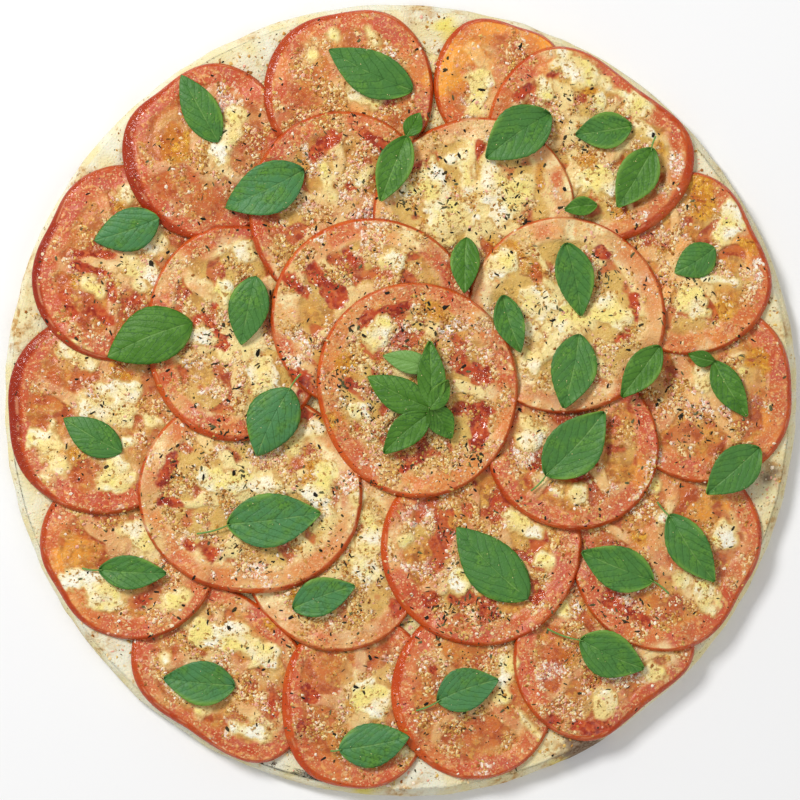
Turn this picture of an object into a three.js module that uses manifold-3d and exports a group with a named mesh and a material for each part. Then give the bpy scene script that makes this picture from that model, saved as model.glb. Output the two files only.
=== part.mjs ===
// A margherita pizza, 300 mm across: a thin round dough base with a low browned rim, a skin of
// melted cheese, overlapping tomato slices laid in rings, fresh basil leaves on top, and dried
// herb flakes and cheese crumbs stuck to the slices. Millimetres, +Z up. The origin is under the
// middle of the pizza, on the surface that it lies on.
import * as THREE from 'three';
import { mergeVertices } from 'three/addons/utils/BufferGeometryUtils.js';
import Module from 'manifold-3d';

const wasm = await Module();
wasm.setup();

// Dough base and rim.
const PIZZA_RADIUS = 149.4;
const OUTLINE_WAVE = 0.5;
const DOUGH_HEIGHT = 6;
const DOUGH_WAVE = 0.35;
const RIM_HEIGHT = 9.6;
const RIM_CREST = 141;
const RIM_HALF_WIDTH = 10;
const FOOT_RADIUS = 143;
const CRUST_SIDES = 56;
const CRUST_RINGS = [50, 100, 122, 132, RIM_CREST, 145.5];
const CRUST_EDGE = [
  { inward: 1, height: 6 },
  { inward: 0, height: 4 },
  { inward: 1.6, height: 1.5 },
];

// Melted cheese between the dough and the slices.
const CHEESE_RADIUS = 130;
const CHEESE_THICKNESS = 1.3;
const CHEESE_SIDES = 36;
const CHEESE_RINGS = [0.3, 0.58, 0.82, 1];

// Tomato slices.
const SLICE_THICKNESS = 2.6;
const SLICE_SIDES = 18;
const SKIN_BULGE = 0.035;
const SEED_HOLLOW = 0.7;
const SLICE_LIMIT = 146.5;
const SLICE_RINGS = [0.4, 0.74, 0.979];
const SLICE_SOFTNESS = 4;

// Basil leaves.
const LEAF_THICKNESS = 0.8;
const LEAF_SOFTNESS = 3;
const STALK_HALF_WIDTH = 0.6;
const PAIR_STEM_RADIUS = 1;
const STEM_SIDES = 8;

// Mounds of cheese and bits that stick to the slices.
const MOUND_HEIGHT = 0.9;
const MOUND_SIDES = 8;
const HERB_FLAKES = 64;
const CHEESE_CRUMBS = 26;
const BITS = HERB_FLAKES + CHEESE_CRUMBS;
const BIT_CLEARANCE = 2.6;
const BIT_REACH = 142;
const DRAWS_PER_BIT = 40;
const FLATTEST_TILT = 0.9;
const HERB_FLAKE = { length: 3.4, width: 1.5, height: 0.55, sides: 5 };
const CHEESE_CRUMB = { length: 2.6, width: 2.2, height: 0.75, sides: 6 };

// Air left between pieces that lie on each other, and the reach and step of the height map.
const GAP = 0.42;
const MAP_REACH = 156;
const CELL = 0.75;
const TOUCHED = 0.005;
const MOST_PASSES = 200;

const COLOURS = {
  crust: 0xdcc796,
  cheese: 0xf0e0ae,
  tomato: 0xc9572f,
  basil: 0x4a7f3e,
};

// Slices from the lowest to the highest: centre, half width, half length, turn of the oval in
// degrees, and number of seed hollows.
const SLICES = [
  { x: -67, y: -104, across: 38, along: 30, turn: -50, hollows: 5 },
  { x: -101, y: -56, across: 34, along: 34, turn: 0, hollows: 4 },
  { x: -113, y: -5, across: 36.5, along: 38.5, turn: 0, hollows: 5 },
  { x: -103.5, y: 51.5, across: 34.5, along: 38, turn: -35, hollows: 5 },
  { x: -73, y: 94, across: 32, along: 33.5, turn: 0, hollows: 3 },
  { x: -19, y: 116, across: 32.5, along: 32.5, turn: 0, hollows: 4 },
  { x: 37.5, y: 119.5, across: 25.5, along: 26, turn: 0, hollows: 3 },
  { x: -16, y: -113.5, across: 28.5, along: 34.5, turn: 0, hollows: 4 },
  { x: 28, y: -109, across: 31, along: 34, turn: 0, hollows: 4 },
  { x: 76.5, y: -95.5, across: 34, along: 34.5, turn: 0, hollows: 5 },
  { x: 100, y: -56, across: 36, along: 39, turn: 0, hollows: 5 },
  { x: 113.5, y: 3.5, across: 35.5, along: 35, turn: 0, hollows: 4 },
  { x: 107, y: 51, across: 33.5, along: 35, turn: 0, hollows: 5 },
  { x: 72, y: 97, across: 40, along: 39, turn: 0, hollows: 6 },
  { x: -24.5, y: -60, across: 34.5, along: 34, turn: 0, hollows: 5 },
  { x: -56, y: -34.5, across: 43, along: 38, turn: 0, hollows: 6 },
  { x: -61, y: 25, across: 34.5, along: 40.5, turn: 0, hollows: 5 },
  { x: -22.5, y: 71, across: 34.5, along: 37.5, turn: 0, hollows: 5 },
  { x: 28, y: 70.5, across: 38.5, along: 35, turn: 0, hollows: 6 },
  { x: -11, y: 32, across: 38, along: 36.5, turn: 0, hollows: 5 },
  { x: 30.5, y: -55.5, across: 37.5, along: 37, turn: 0, hollows: 3 },
  { x: 65, y: -17.5, across: 32, along: 32, turn: 0, hollows: 4 },
  { x: 62, y: 31.5, across: 37, along: 37.5, turn: 0, hollows: 6 },
  { x: 6.5, y: 4, across: 37.5, along: 41, turn: 0, hollows: 5 },
];

// Mounds of melted cheese on the slices: middle and radius.
const MOUNDS = [
  { x: -66, y: 97, radius: 5 },
  { x: -26, y: 136, radius: 4 },
  { x: 30, y: 117, radius: 5 },
  { x: -127, y: -19, radius: 7 },
  { x: -112, y: -72, radius: 6 },
  { x: 77, y: -111, radius: 5 },
  { x: 115, y: -72, radius: 5 },
  { x: 131, y: 13, radius: 5 },
  { x: 126, y: 47, radius: 5 },
  { x: -8, y: 26, radius: 6 },
  { x: -25, y: 139, radius: 4 },
  { x: 22, y: -69, radius: 6 },
  { x: 62, y: -35, radius: 5 },
  { x: -64, y: -93, radius: 6 },
];

// Basil leaves: foot of the blade, heading from foot to tip in degrees, length, width, and the
// end of the stalk where one shows. Leaves of one sprig share a name.
const LEAVES = [
  { name: 'basil_01', x: -68, y: 96.5, heading: 119, length: 29, width: 13.5 },
  { name: 'basil_02', x: -90, y: 68, heading: 199, length: 26, width: 16 },
  { name: 'basil_03', x: -77.5, y: 29, heading: 202, length: 34.5, width: 21 },
  { name: 'basil_04', x: -36, y: 86, heading: 205, length: 32.5, width: 19 },
  { name: 'basil_05', x: 2.5, y: 98.5, heading: 248, length: 26, width: 13 },
  { name: 'basil_05', x: 2.5, y: 99, heading: 60, length: 10, width: 7 },
  { name: 'basil_06', x: 4.5, y: 116, heading: 154, length: 34.5, width: 17 },
  { name: 'basil_07', x: 56, y: 107, heading: 215, length: 29, width: 19 },
  { name: 'basil_08', x: 86.5, y: 102.5, heading: 189, length: 21, width: 13.5 },
  { name: 'basil_09', x: 94.5, y: 94, heading: 239, length: 25.5, width: 15, stalk: [95.6, 98.6] },
  { name: 'basil_10', x: 73.5, y: 73, heading: 189, length: 12, width: 7 },
  { name: 'basil_11', x: 118, y: 57, heading: 212, length: 18, width: 13 },
  { name: 'basil_12', x: 25, y: 61, heading: 268, length: 21, width: 11 },
  { name: 'basil_13', x: -54, y: 46.5, heading: 258, length: 26.5, width: 15 },
  { name: 'basil_14', x: 62, y: 58.5, heading: 282, length: 27.5, width: 14 },
  { name: 'basil_15', x: 38.5, y: 39, heading: 288, length: 22, width: 11 },
  { name: 'basil_16', x: 67, y: 24.5, heading: 258, length: 28, width: 17 },
  { name: 'basil_17', x: 97, y: 20, heading: 233, length: 23.5, width: 12 },
  { name: 'basil_18', x: 117.5, y: 14.5, heading: 301, length: 24, width: 11 },
  { name: 'basil_18', x: 117.5, y: 14.5, heading: 165, length: 10, width: 6 },
  { name: 'basil_19', x: 54.5, y: -28, heading: 47, length: 32, width: 20, stalk: [49, -34] },
  { name: 'basil_20', x: 134.5, y: -18, heading: 221, length: 26, width: 16 },
  { name: 'basil_21', x: -104, y: -19.5, heading: 150, length: 25.5, width: 13.5 },
  { name: 'basil_22', x: -41, y: 4.5, heading: 244, length: 28.5, width: 19.5, stalk: [-37, 9.8] },
  { name: 'basil_23', x: 48, y: -74.5, heading: 135, length: 38, width: 20 },
  { name: 'basil_24', x: -64.5, y: -46.5, heading: 7, length: 35, width: 20, stalk: [-76, -50] },
  { name: 'basil_25', x: -112.5, y: -63.5, heading: 357, length: 25, width: 12.5, stalk: [-119, -63] },
  { name: 'basil_26', x: -40, y: -78, heading: 20, length: 24.5, width: 14 },
  { name: 'basil_27', x: 101, y: -43, heading: 304, length: 30, width: 15, stalk: [96.4, -38.2] },
  { name: 'basil_28', x: 94.5, y: -67.5, heading: 158, length: 28.5, width: 16.5, stalk: [100.5, -72.4] },
  { name: 'basil_29', x: -62, y: -107, heading: 174, length: 26.5, width: 16.5 },
  { name: 'basil_30', x: 67.5, y: -89.5, heading: 335, length: 26, width: 17, stalk: [55, -85.5] },
  { name: 'basil_31', x: 14, y: -112.5, heading: 19, length: 24, width: 16, stalk: [6, -116.2] },
  { name: 'basil_32', x: -23, y: -131, heading: 11, length: 27, width: 16.5, stalk: [-26, -131.4] },
];

// The sprig in the middle: six leaves round one stem, each with how far its foot stands up.
const SPRIG_STEM = { x: 11, y: -4.5, radius: 2 };
const SPRIG_LEAVES = [
  { x: 12, y: 12, heading: 166, length: 19, width: 8.5, foot: 3 },
  { x: 11, y: -3, heading: 153, length: 26, width: 13, foot: 3 },
  { x: 11, y: -5, heading: 221, length: 22.5, width: 11.5, foot: 3 },
  { x: 11.5, y: -2.5, heading: 303, length: 14, width: 10, foot: 3 },
  { x: 12, y: -3, heading: 92, length: 25, width: 10.5, foot: 3.6 },
  { x: 11, y: -3.5, heading: 56, length: 13, width: 7.5, foot: 4.6 },
];

const radians = THREE.MathUtils.degToRad;

// A repeatable stream of numbers from 0 to 1.
function randomStream(seed) {
  let state = seed;
  return () => {
    state = (state * 1664525 + 1013904223) % 4294967296;
    return state / 4294967296;
  };
}

// Closed body from rows of points: it starts and ends with a single point, and the rows between
// run anticlockwise seen from above, out over the top, down the side and back in underneath.
function ringBody(rows) {
  const points = [];
  const starts = rows.map((row) => {
    const start = points.length;
    points.push(...row);
    return start;
  });
  const faces = [];
  for (let r = 0; r + 1 < rows.length; r += 1) {
    const sides = Math.max(rows[r].length, rows[r + 1].length);
    const at = (row, side) => starts[row] + (rows[row].length === 1 ? 0 : side % sides);
    for (let s = 0; s < sides; s += 1) {
      if (rows[r + 1].length > 1) {
        faces.push([at(r, s), at(r + 1, s), at(r + 1, s + 1)]);
      }
      if (rows[r].length > 1) {
        faces.push([at(r, s), at(r + 1, s + 1), at(r, s + 1)]);
      }
    }
  }
  return { points, faces };
}

// Row of points round a middle, at the radius and height that two functions of the angle give.
function ringRow(sides, radiusAt, heightAt, x = 0, y = 0) {
  return Array.from({ length: sides }, (_, s) => {
    const angle = (s / sides) * Math.PI * 2;
    const radius = radiusAt(angle);
    return new THREE.Vector3(
      x + radius * Math.cos(angle),
      y + radius * Math.sin(angle),
      heightAt(angle, radius),
    );
  });
}

// Height map of everything laid so far, and the number of the piece that is on top.
const MAP_HALF = Math.ceil(MAP_REACH / CELL);
const MAP_SIDE = 2 * MAP_HALF + 1;
const mapHeight = new Float32Array(MAP_SIDE * MAP_SIDE).fill(-1);
const mapOwner = new Int16Array(MAP_SIDE * MAP_SIDE).fill(-1);

// Calls visit with the cell, the height and the corner weights, wherever a face covers a cell.
function overFace(a, b, c, visit) {
  const area = (b.x - a.x) * (c.y - a.y) - (c.x - a.x) * (b.y - a.y);
  if (Math.abs(area) < 1e-6) {
    return;
  }
  const low = (p, q, r) => Math.ceil(Math.min(p, q, r) / CELL);
  const high = (p, q, r) => Math.floor(Math.max(p, q, r) / CELL);
  for (let i = low(a.x, b.x, c.x); i <= high(a.x, b.x, c.x); i += 1) {
    for (let j = low(a.y, b.y, c.y); j <= high(a.y, b.y, c.y); j += 1) {
      const x = i * CELL;
      const y = j * CELL;
      const u = ((x - a.x) * (c.y - a.y) - (c.x - a.x) * (y - a.y)) / area;
      const v = ((b.x - a.x) * (y - a.y) - (x - a.x) * (b.y - a.y)) / area;
      if (u >= 0 && v >= 0 && u + v <= 1) {
        const cell = (j + MAP_HALF) * MAP_SIDE + i + MAP_HALF;
        visit(cell, a.z + u * (b.z - a.z) + v * (c.z - a.z), [1 - u - v, u, v]);
      }
    }
  }
}

function layOnMap(body, owner) {
  body.faces.forEach(([a, b, c]) => {
    overFace(body.points[a], body.points[b], body.points[c], (cell, height) => {
      if (height > mapHeight[cell]) {
        mapHeight[cell] = height;
        mapOwner[cell] = owner;
      }
    });
  });
}

// Highest point of the map within a distance of a place.
function highestNear(x, y, distance) {
  const reach = Math.ceil(distance / CELL);
  const i0 = Math.round(x / CELL) + MAP_HALF;
  const j0 = Math.round(y / CELL) + MAP_HALF;
  let highest = -1;
  for (let i = i0 - reach; i <= i0 + reach; i += 1) {
    for (let j = j0 - reach; j <= j0 + reach; j += 1) {
      highest = Math.max(highest, mapHeight[j * MAP_SIDE + i] ?? -1);
    }
  }
  return highest;
}

// Copy of the map in which each cell holds the highest of itself and its neighbours.
function widenedMap() {
  const wide = mapHeight.slice();
  for (let j = 1; j < MAP_SIDE - 1; j += 1) {
    for (let i = 1; i < MAP_SIDE - 1; i += 1) {
      const cell = j * MAP_SIDE + i;
      for (const row of [-MAP_SIDE, 0, MAP_SIDE]) {
        for (const step of [-1, 0, 1]) {
          wide[cell] = Math.max(wide[cell], mapHeight[cell + row + step]);
        }
      }
    }
  }
  return wide;
}

// Lets a limp sheet down on what lies below it. Its points keep their own rise above the sheet's
// soft level, and every face of its underside ends at least GAP above the map.
function settle(points, faces, rise, softness) {
  const below = widenedMap();
  const links = points.map(() => new Set());
  faces.forEach(([a, b, c]) => {
    links[a].add(b).add(c);
    links[b].add(a).add(c);
    links[c].add(a).add(b);
  });
  let level = points.map((p) => highestNear(p.x, p.y, 3) + GAP);
  const lift = () => {
    const raise = new Float32Array(points.length);
    points.forEach((p, n) => {
      p.z = level[n] + rise[n];
    });
    faces.forEach((face) => {
      const [a, b, c] = face.map((n) => points[n]);
      overFace(a, b, c, (cell, height, weights) => {
        const lack = below[cell] + GAP - height;
        if (lack > 0) {
          const share = weights.reduce((sum, w) => sum + w * w, 0);
          face.forEach((n, k) => {
            raise[n] = Math.max(raise[n], (lack * weights[k]) / share);
          });
        }
      });
    });
    raise.forEach((amount, n) => {
      level[n] += amount;
    });
    return Math.max(...raise);
  };
  for (let pass = 0; pass < softness; pass += 1) {
    level = level.map((value, n) => {
      const around = [...links[n]].reduce((sum, k) => sum + level[k], 0) / links[n].size;
      return 0.4 * value + 0.6 * around;
    });
    lift();
  }
  let passes = 0;
  while (lift() > TOUCHED && passes < MOST_PASSES) {
    passes += 1;
  }
  points.forEach((p, n) => {
    p.z = level[n] + rise[n];
  });
}

// Height of the dough's upper side, with slow waves and a rim that swells and sinks a little.
function doughHeight(x, y) {
  const radius = Math.hypot(x, y);
  const angle = Math.atan2(y, x);
  const wave = DOUGH_WAVE * (Math.sin(x / 17 + 1) * Math.cos(y / 21) + Math.sin((x + y) / 13));
  const rim = Math.exp(-(((radius - RIM_CREST) / RIM_HALF_WIDTH) ** 2));
  const slow = 0.14 * Math.sin(5 * angle + 0.6);
  const swell = 1 + slow + 0.1 * Math.sin(11 * angle) + 0.07 * Math.sin(23 * angle);
  return DOUGH_HEIGHT + wave + (RIM_HEIGHT - DOUGH_HEIGHT) * rim * swell;
}

function outlineRadius(angle) {
  return PIZZA_RADIUS + OUTLINE_WAVE * (0.6 * Math.sin(3 * angle + 1) + 0.4 * Math.sin(8 * angle));
}

function makeCrust() {
  const top = CRUST_RINGS.map((radius) => (
    ringRow(CRUST_SIDES, () => radius, (angle) => (
      doughHeight(radius * Math.cos(angle), radius * Math.sin(angle))
    ))
  ));
  const side = CRUST_EDGE.map(({ inward, height }) => ringRow(
    CRUST_SIDES,
    (angle) => outlineRadius(angle) - inward,
    (angle) => height * (1 + 0.12 * Math.sin(7 * angle)),
  ));
  return ringBody([
    [new THREE.Vector3(0, 0, doughHeight(0, 0))],
    ...top,
    ...side,
    ringRow(CRUST_SIDES, () => FOOT_RADIUS, () => 0),
    [new THREE.Vector3(0, 0, 0)],
  ]);
}

function makeCheese() {
  const edge = (angle) => CHEESE_RADIUS + 2.5 * Math.sin(7 * angle + 2) + 1.5 * Math.sin(13 * angle);
  const rows = CHEESE_RINGS.map((fraction) => ringRow(
    CHEESE_SIDES,
    (angle) => edge(angle) * fraction,
    (angle, radius) => doughHeight(radius * Math.cos(angle), radius * Math.sin(angle)),
  ));
  const middle = new THREE.Vector3(0, 0, 0);
  const sheet = ringBody([[middle], ...rows]);
  settle(sheet.points, sheet.faces, sheet.points.map(() => 0), 0);
  const upper = rows.map((row) => row.map((p) => {
    const lump = 0.25 * Math.sin(p.x / 4) * Math.cos(p.y / 5);
    return p.clone().setZ(p.z + CHEESE_THICKNESS + lump);
  }));
  return ringBody([
    [middle.clone().setZ(middle.z + CHEESE_THICKNESS)],
    ...upper,
    ...rows.reverse(),
    [middle],
  ]);
}

// Tomato slice: a limp oval disc with a round skin edge, and seed hollows between the ribs.
function makeSlice(slice, number) {
  const turn = radians(slice.turn);
  const random = randomStream(100 + number);
  const phase = random() * Math.PI * 2;
  const uneven = [random(), random()];
  const outline = (angle) => {
    const cosine = Math.cos(angle - turn) / slice.across;
    const sine = Math.sin(angle - turn) / slice.along;
    const oval = 1 / Math.hypot(cosine, sine);
    const wave = 0.014 * Math.sin(2 * angle + 6 * uneven[0])
      + 0.012 * Math.sin(3 * angle + 6 * uneven[1]);
    const outward = slice.x * Math.cos(angle) + slice.y * Math.sin(angle);
    const inside = SLICE_LIMIT ** 2 - slice.x ** 2 - slice.y ** 2;
    return Math.min(oval * (1 + wave), Math.sqrt(outward ** 2 + inside) - outward);
  };
  const rowAt = (fraction) => ringRow(
    SLICE_SIDES,
    (angle) => outline(angle) * fraction,
    () => 0,
    slice.x,
    slice.y,
  );
  const rows = [[new THREE.Vector3(slice.x, slice.y, 0)], ...SLICE_RINGS.map(rowAt), rowAt(1)];
  const sheet = ringBody(rows);
  const middle = 0.42 * SLICE_THICKNESS;
  const rise = sheet.points.map((_, n) => (n > SLICE_SIDES * 3 ? middle : 0));
  settle(sheet.points, sheet.faces, rise, SLICE_SOFTNESS);
  const relief = (fraction, angle) => {
    const rib = 0.5 + 0.5 * Math.cos(slice.hollows * angle + phase);
    const depth = fraction < 0.5 ? 0.8 : 1;
    return -SEED_HOLLOW * depth * (1 - rib);
  };
  const topRow = (row, fraction) => rows[row].map((p, s) => {
    const angle = (s / SLICE_SIDES) * Math.PI * 2;
    const sink = fraction < 0.9 ? relief(fraction, angle) : -0.15;
    return new THREE.Vector3(p.x, p.y, p.z + SLICE_THICKNESS + sink);
  });
  const inner = SLICE_RINGS.map((fraction, n) => topRow(n + 1, fraction));
  inner[2] = inner[2].map((p) => new THREE.Vector3(
    slice.x + (p.x - slice.x) * (1 - SKIN_BULGE),
    slice.y + (p.y - slice.y) * (1 - SKIN_BULGE),
    p.z,
  ));
  return ringBody([
    [rows[0][0].clone().setZ(rows[0][0].z + SLICE_THICKNESS)],
    ...inner,
    rows[4],
    rows[3],
    rows[2],
    rows[1],
    rows[0],
  ]);
}

// Basil leaf: a thin wavy blade folded along its rib, both faces split into the same triangles,
// with a thin stalk where one shows.
function makeLeaf(leaf, number) {
  const random = randomStream(700 + number);
  const heading = radians(leaf.heading);
  const arch = 0.6 + 1.1 * random();
  const fold = (random() < 0.7 ? 0.9 : -0.7) * (0.6 + 0.8 * random());
  const phase = random() * Math.PI * 2;
  const along = new THREE.Vector3(Math.cos(heading), Math.sin(heading), 0);
  const across = new THREE.Vector3(-along.y, along.x, 0);
  const points = [];
  const rise = [];
  const put = (s, side, halfWidth) => {
    const p = new THREE.Vector3(leaf.x, leaf.y, 0);
    p.addScaledVector(along, s * leaf.length).addScaledVector(across, side * halfWidth);
    points.push(p);
    const wave = 0.35 * Math.sin(9 * s + phase) * Math.abs(side);
    const foot = (leaf.foot ?? 0) * (1 - s) ** 1.5;
    rise.push(arch * Math.sin(Math.PI * s) + fold * Math.abs(side) * (halfWidth / 8) + wave + foot + 1);
    return points.length - 1;
  };
  const stations = [];
  const start = leaf.stalk ? [0.02, 0.14, 0.32, 0.52, 0.7, 0.87] : [0.12, 0.3, 0.5, 0.68, 0.86];
  stations.push([put(0, 0, 0)]);
  start.forEach((s, n) => {
    const blade = (leaf.width / 2) * Math.sin(Math.PI * s ** 0.84) ** 0.72;
    const half = leaf.stalk && n === 0 ? STALK_HALF_WIDTH : blade;
    stations.push([put(s, -1, half), put(s, 0, half), put(s, 1, half)]);
  });
  stations.push([put(1, 0, 0)]);
  if (leaf.stalk) {
    points[0].set(leaf.stalk[0], leaf.stalk[1], 0);
    rise[0] = 0;
  }
  const faces = [];
  for (let n = 0; n + 1 < stations.length; n += 1) {
    const near = stations[n];
    const far = stations[n + 1];
    for (let k = 0; k < 2; k += 1) {
      const [a, b] = near.length === 1 ? [near[0], near[0]] : [near[k], near[k + 1]];
      const [c, d] = far.length === 1 ? [far[0], far[0]] : [far[k], far[k + 1]];
      if (c !== d) {
        faces.push([a, c, d]);
      }
      if (a !== b) {
        faces.push([a, d, b]);
      }
    }
  }
  const lowest = Math.min(...rise);
  settle(points, faces, rise.map((value) => value - lowest), LEAF_SOFTNESS);
  return sheetBody(points, faces, LEAF_THICKNESS);
}

// Closed body between a sheet of faces and the same sheet moved up by a thickness.
function sheetBody(points, faces, thickness) {
  const count = points.length;
  const upper = points.map((p) => new THREE.Vector3(p.x, p.y, p.z + thickness));
  const all = [...points, ...upper];
  const directed = new Set(faces.flatMap(([a, b, c]) => [`${a} ${b}`, `${b} ${c}`, `${c} ${a}`]));
  const body = faces.map(([a, b, c]) => [a + count, b + count, c + count]);
  faces.forEach(([a, b, c]) => body.push([a, c, b]));
  directed.forEach((edge) => {
    const [a, b] = edge.split(' ').map(Number);
    if (!directed.has(`${b} ${a}`)) {
      body.push([a, b, b + count], [a, b + count, a + count]);
    }
  });
  return { points: all, faces: body };
}

function geometryOf(body) {
  const geometry = new THREE.BufferGeometry();
  const places = body.points.flatMap((p) => p.toArray());
  geometry.setAttribute('position', new THREE.Float32BufferAttribute(places, 3));
  geometry.setIndex(body.faces.flat());
  return geometry;
}

function solidOf(body) {
  const geometry = mergeVertices(geometryOf(body), 1e-5);
  return new wasm.Manifold(new wasm.Mesh({
    numProp: 3,
    vertProperties: new Float32Array(geometry.attributes.position.array),
    triVerts: new Uint32Array(geometry.index.array),
  }));
}

function bodyOf(solid) {
  const mesh = solid.getMesh();
  const points = [];
  for (let n = 0; n < mesh.vertProperties.length; n += mesh.numProp) {
    points.push(new THREE.Vector3(...mesh.vertProperties.slice(n, n + 3)));
  }
  const faces = [];
  for (let n = 0; n < mesh.triVerts.length; n += 3) {
    faces.push([...mesh.triVerts.slice(n, n + 3)]);
  }
  return { points, faces };
}

function fuse(bodies) {
  return bodyOf(bodies.map(solidOf).reduce((whole, solid) => whole.add(solid)));
}

// Low dome, sunk into what it sticks to: a mound of cheese, a crumb or a herb flake.
function makeDome({ x, y, z, length, width, height, turn, sides, tilt, shoulder }) {
  const body = ringBody([
    [new THREE.Vector3(0, 0, height)],
    ...(shoulder ? [ringRow(sides, () => 0.6, () => height * 0.72)] : []),
    ringRow(sides, () => 1, () => -height * 0.3),
    [new THREE.Vector3(0, 0, -height)],
  ]);
  const place = new THREE.Matrix4().makeTranslation(x, y, z);
  place.multiply(new THREE.Matrix4().makeRotationFromQuaternion(
    new THREE.Quaternion().setFromUnitVectors(new THREE.Vector3(0, 0, 1), tilt),
  ));
  place.multiply(new THREE.Matrix4().makeRotationZ(turn));
  place.multiply(new THREE.Matrix4().makeScale(length / 2, width / 2, 1));
  body.points.forEach((p) => p.applyMatrix4(place));
  return body;
}

// Number of the piece on top all round a place, or -1 where two meet, and how the ground tilts.
function groundAt(x, y, clearance) {
  const cellAt = (px, py) => (Math.round(py / CELL) + MAP_HALF) * MAP_SIDE + Math.round(px / CELL) + MAP_HALF;
  const middle = cellAt(x, y);
  const owner = mapOwner[middle];
  let same = owner >= 0;
  for (let k = 0; k < 16; k += 1) {
    for (const reach of [0.5, 1]) {
      const angle = (k / 16) * Math.PI * 2;
      const cell = cellAt(x + clearance * reach * Math.cos(angle), y + clearance * reach * Math.sin(angle));
      same = same && mapOwner[cell] === owner;
    }
  }
  const slopeX = (mapHeight[cellAt(x + 1.5, y)] - mapHeight[cellAt(x - 1.5, y)]) / 3;
  const slopeY = (mapHeight[cellAt(x, y + 1.5)] - mapHeight[cellAt(x, y - 1.5)]) / 3;
  const tilt = new THREE.Vector3(-slopeX, -slopeY, 1).normalize();
  return { owner: same ? owner : -1, z: mapHeight[middle], tilt };
}

// Lays the pieces one after the other, each on the map of those before it.
const pieces = [];
function lay(name, body, material) {
  layOnMap(body, pieces.length);
  pieces.push({ name, body, material, bits: [] });
}

lay('crust', makeCrust(), 'crust');
lay('cheese', makeCheese(), 'cheese');
SLICES.forEach((slice, n) => {
  lay(`tomato_${String(n + 1).padStart(2, '0')}`, makeSlice(slice, n), 'tomato');
});

MOUNDS.forEach(({ x, y, radius }, n) => {
  const ground = groundAt(x, y, radius + 1);
  const dome = makeDome({
    x,
    y,
    z: ground.z,
    length: radius * 2.2,
    width: radius * 1.8,
    height: MOUND_HEIGHT,
    turn: n,
    sides: MOUND_SIDES,
    tilt: ground.tilt,
    shoulder: true,
  });
  pieces[ground.owner].bits.push(dome);
  layOnMap(dome, ground.owner);
});

// Short upright stem that joins the leaves of a sprig, as tall as the feet that meet in it.
function makeStem(x, y, radius, leaves) {
  const near = (p) => Math.hypot(p.x - x, p.y - y) < radius * 1.4;
  const feet = leaves.flatMap((leaf) => leaf.points.filter(near));
  const low = Math.min(...feet.map((p) => p.z));
  const high = Math.max(...feet.map((p) => p.z));
  return ringBody([
    [new THREE.Vector3(x, y, high + 0.4)],
    ringRow(STEM_SIDES, () => radius, () => high - 0.1, x, y),
    ringRow(STEM_SIDES, () => radius, () => low + 0.2, x, y),
    [new THREE.Vector3(x, y, low + 0.1)],
  ]);
}

const leafNames = [...new Set(LEAVES.map((leaf) => leaf.name))];
leafNames.forEach((name) => {
  const bodies = LEAVES.flatMap((leaf, n) => (leaf.name === name ? [makeLeaf(leaf, n)] : []));
  if (bodies.length > 1) {
    const { x, y } = LEAVES.find((leaf) => leaf.name === name);
    bodies.push(makeStem(x, y, PAIR_STEM_RADIUS, bodies));
  }
  lay(name, bodies.length > 1 ? fuse(bodies) : bodies[0], 'basil');
});

const sprig = SPRIG_LEAVES.map((leaf, n) => makeLeaf(leaf, LEAVES.length + n));
sprig.push(makeStem(SPRIG_STEM.x, SPRIG_STEM.y, SPRIG_STEM.radius, sprig));
lay('basil_sprig', fuse(sprig), 'basil');

// Spreads the bits: each takes the best of many drawn places, the one farthest from the others.
const random = randomStream(977);
const taken = [];
for (let n = 0; n < BITS; n += 1) {
  let best = null;
  for (let draw = 0; draw < DRAWS_PER_BIT; draw += 1) {
    const x = (random() * 2 - 1) * BIT_REACH;
    const y = (random() * 2 - 1) * BIT_REACH;
    const inside = Math.hypot(x, y) < BIT_REACH;
    const ground = inside ? groundAt(x, y, BIT_CLEARANCE) : { owner: -1 };
    const apart = Math.min(2 * BIT_REACH, ...taken.map((p) => Math.hypot(p.x - x, p.y - y)));
    const bare = ground.owner > 0 && pieces[ground.owner].material !== 'basil';
    if (bare && ground.tilt.z > FLATTEST_TILT && (!best || apart > best.apart)) {
      best = { x, y, ground, apart };
    }
  }
  const bit = random() < HERB_FLAKES / BITS ? HERB_FLAKE : CHEESE_CRUMB;
  const size = 1.2 - (0.4 * n) / BITS;
  taken.push(best);
  pieces[best.ground.owner].bits.push(makeDome({
    x: best.x,
    y: best.y,
    z: best.ground.z,
    length: bit.length * size,
    width: bit.width * size,
    height: bit.height,
    turn: random() * Math.PI,
    sides: bit.sides,
    tilt: best.ground.tilt,
  }));
}

const ROUGHNESS = { crust: 0.85, cheese: 0.45, tomato: 0.4, basil: 0.55 };
const pizza = new THREE.Group();
pizza.name = 'margherita_pizza';
pieces.forEach(({ name, body, material, bits }) => {
  const whole = bits.length > 0 ? fuse([body, ...bits]) : body;
  const mesh = new THREE.Mesh(geometryOf(whole), new THREE.MeshStandardMaterial({
    color: COLOURS[material],
    roughness: ROUGHNESS[material],
    metalness: 0,
  }));
  mesh.name = name;
  pizza.add(mesh);
});

export default pizza;
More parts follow.
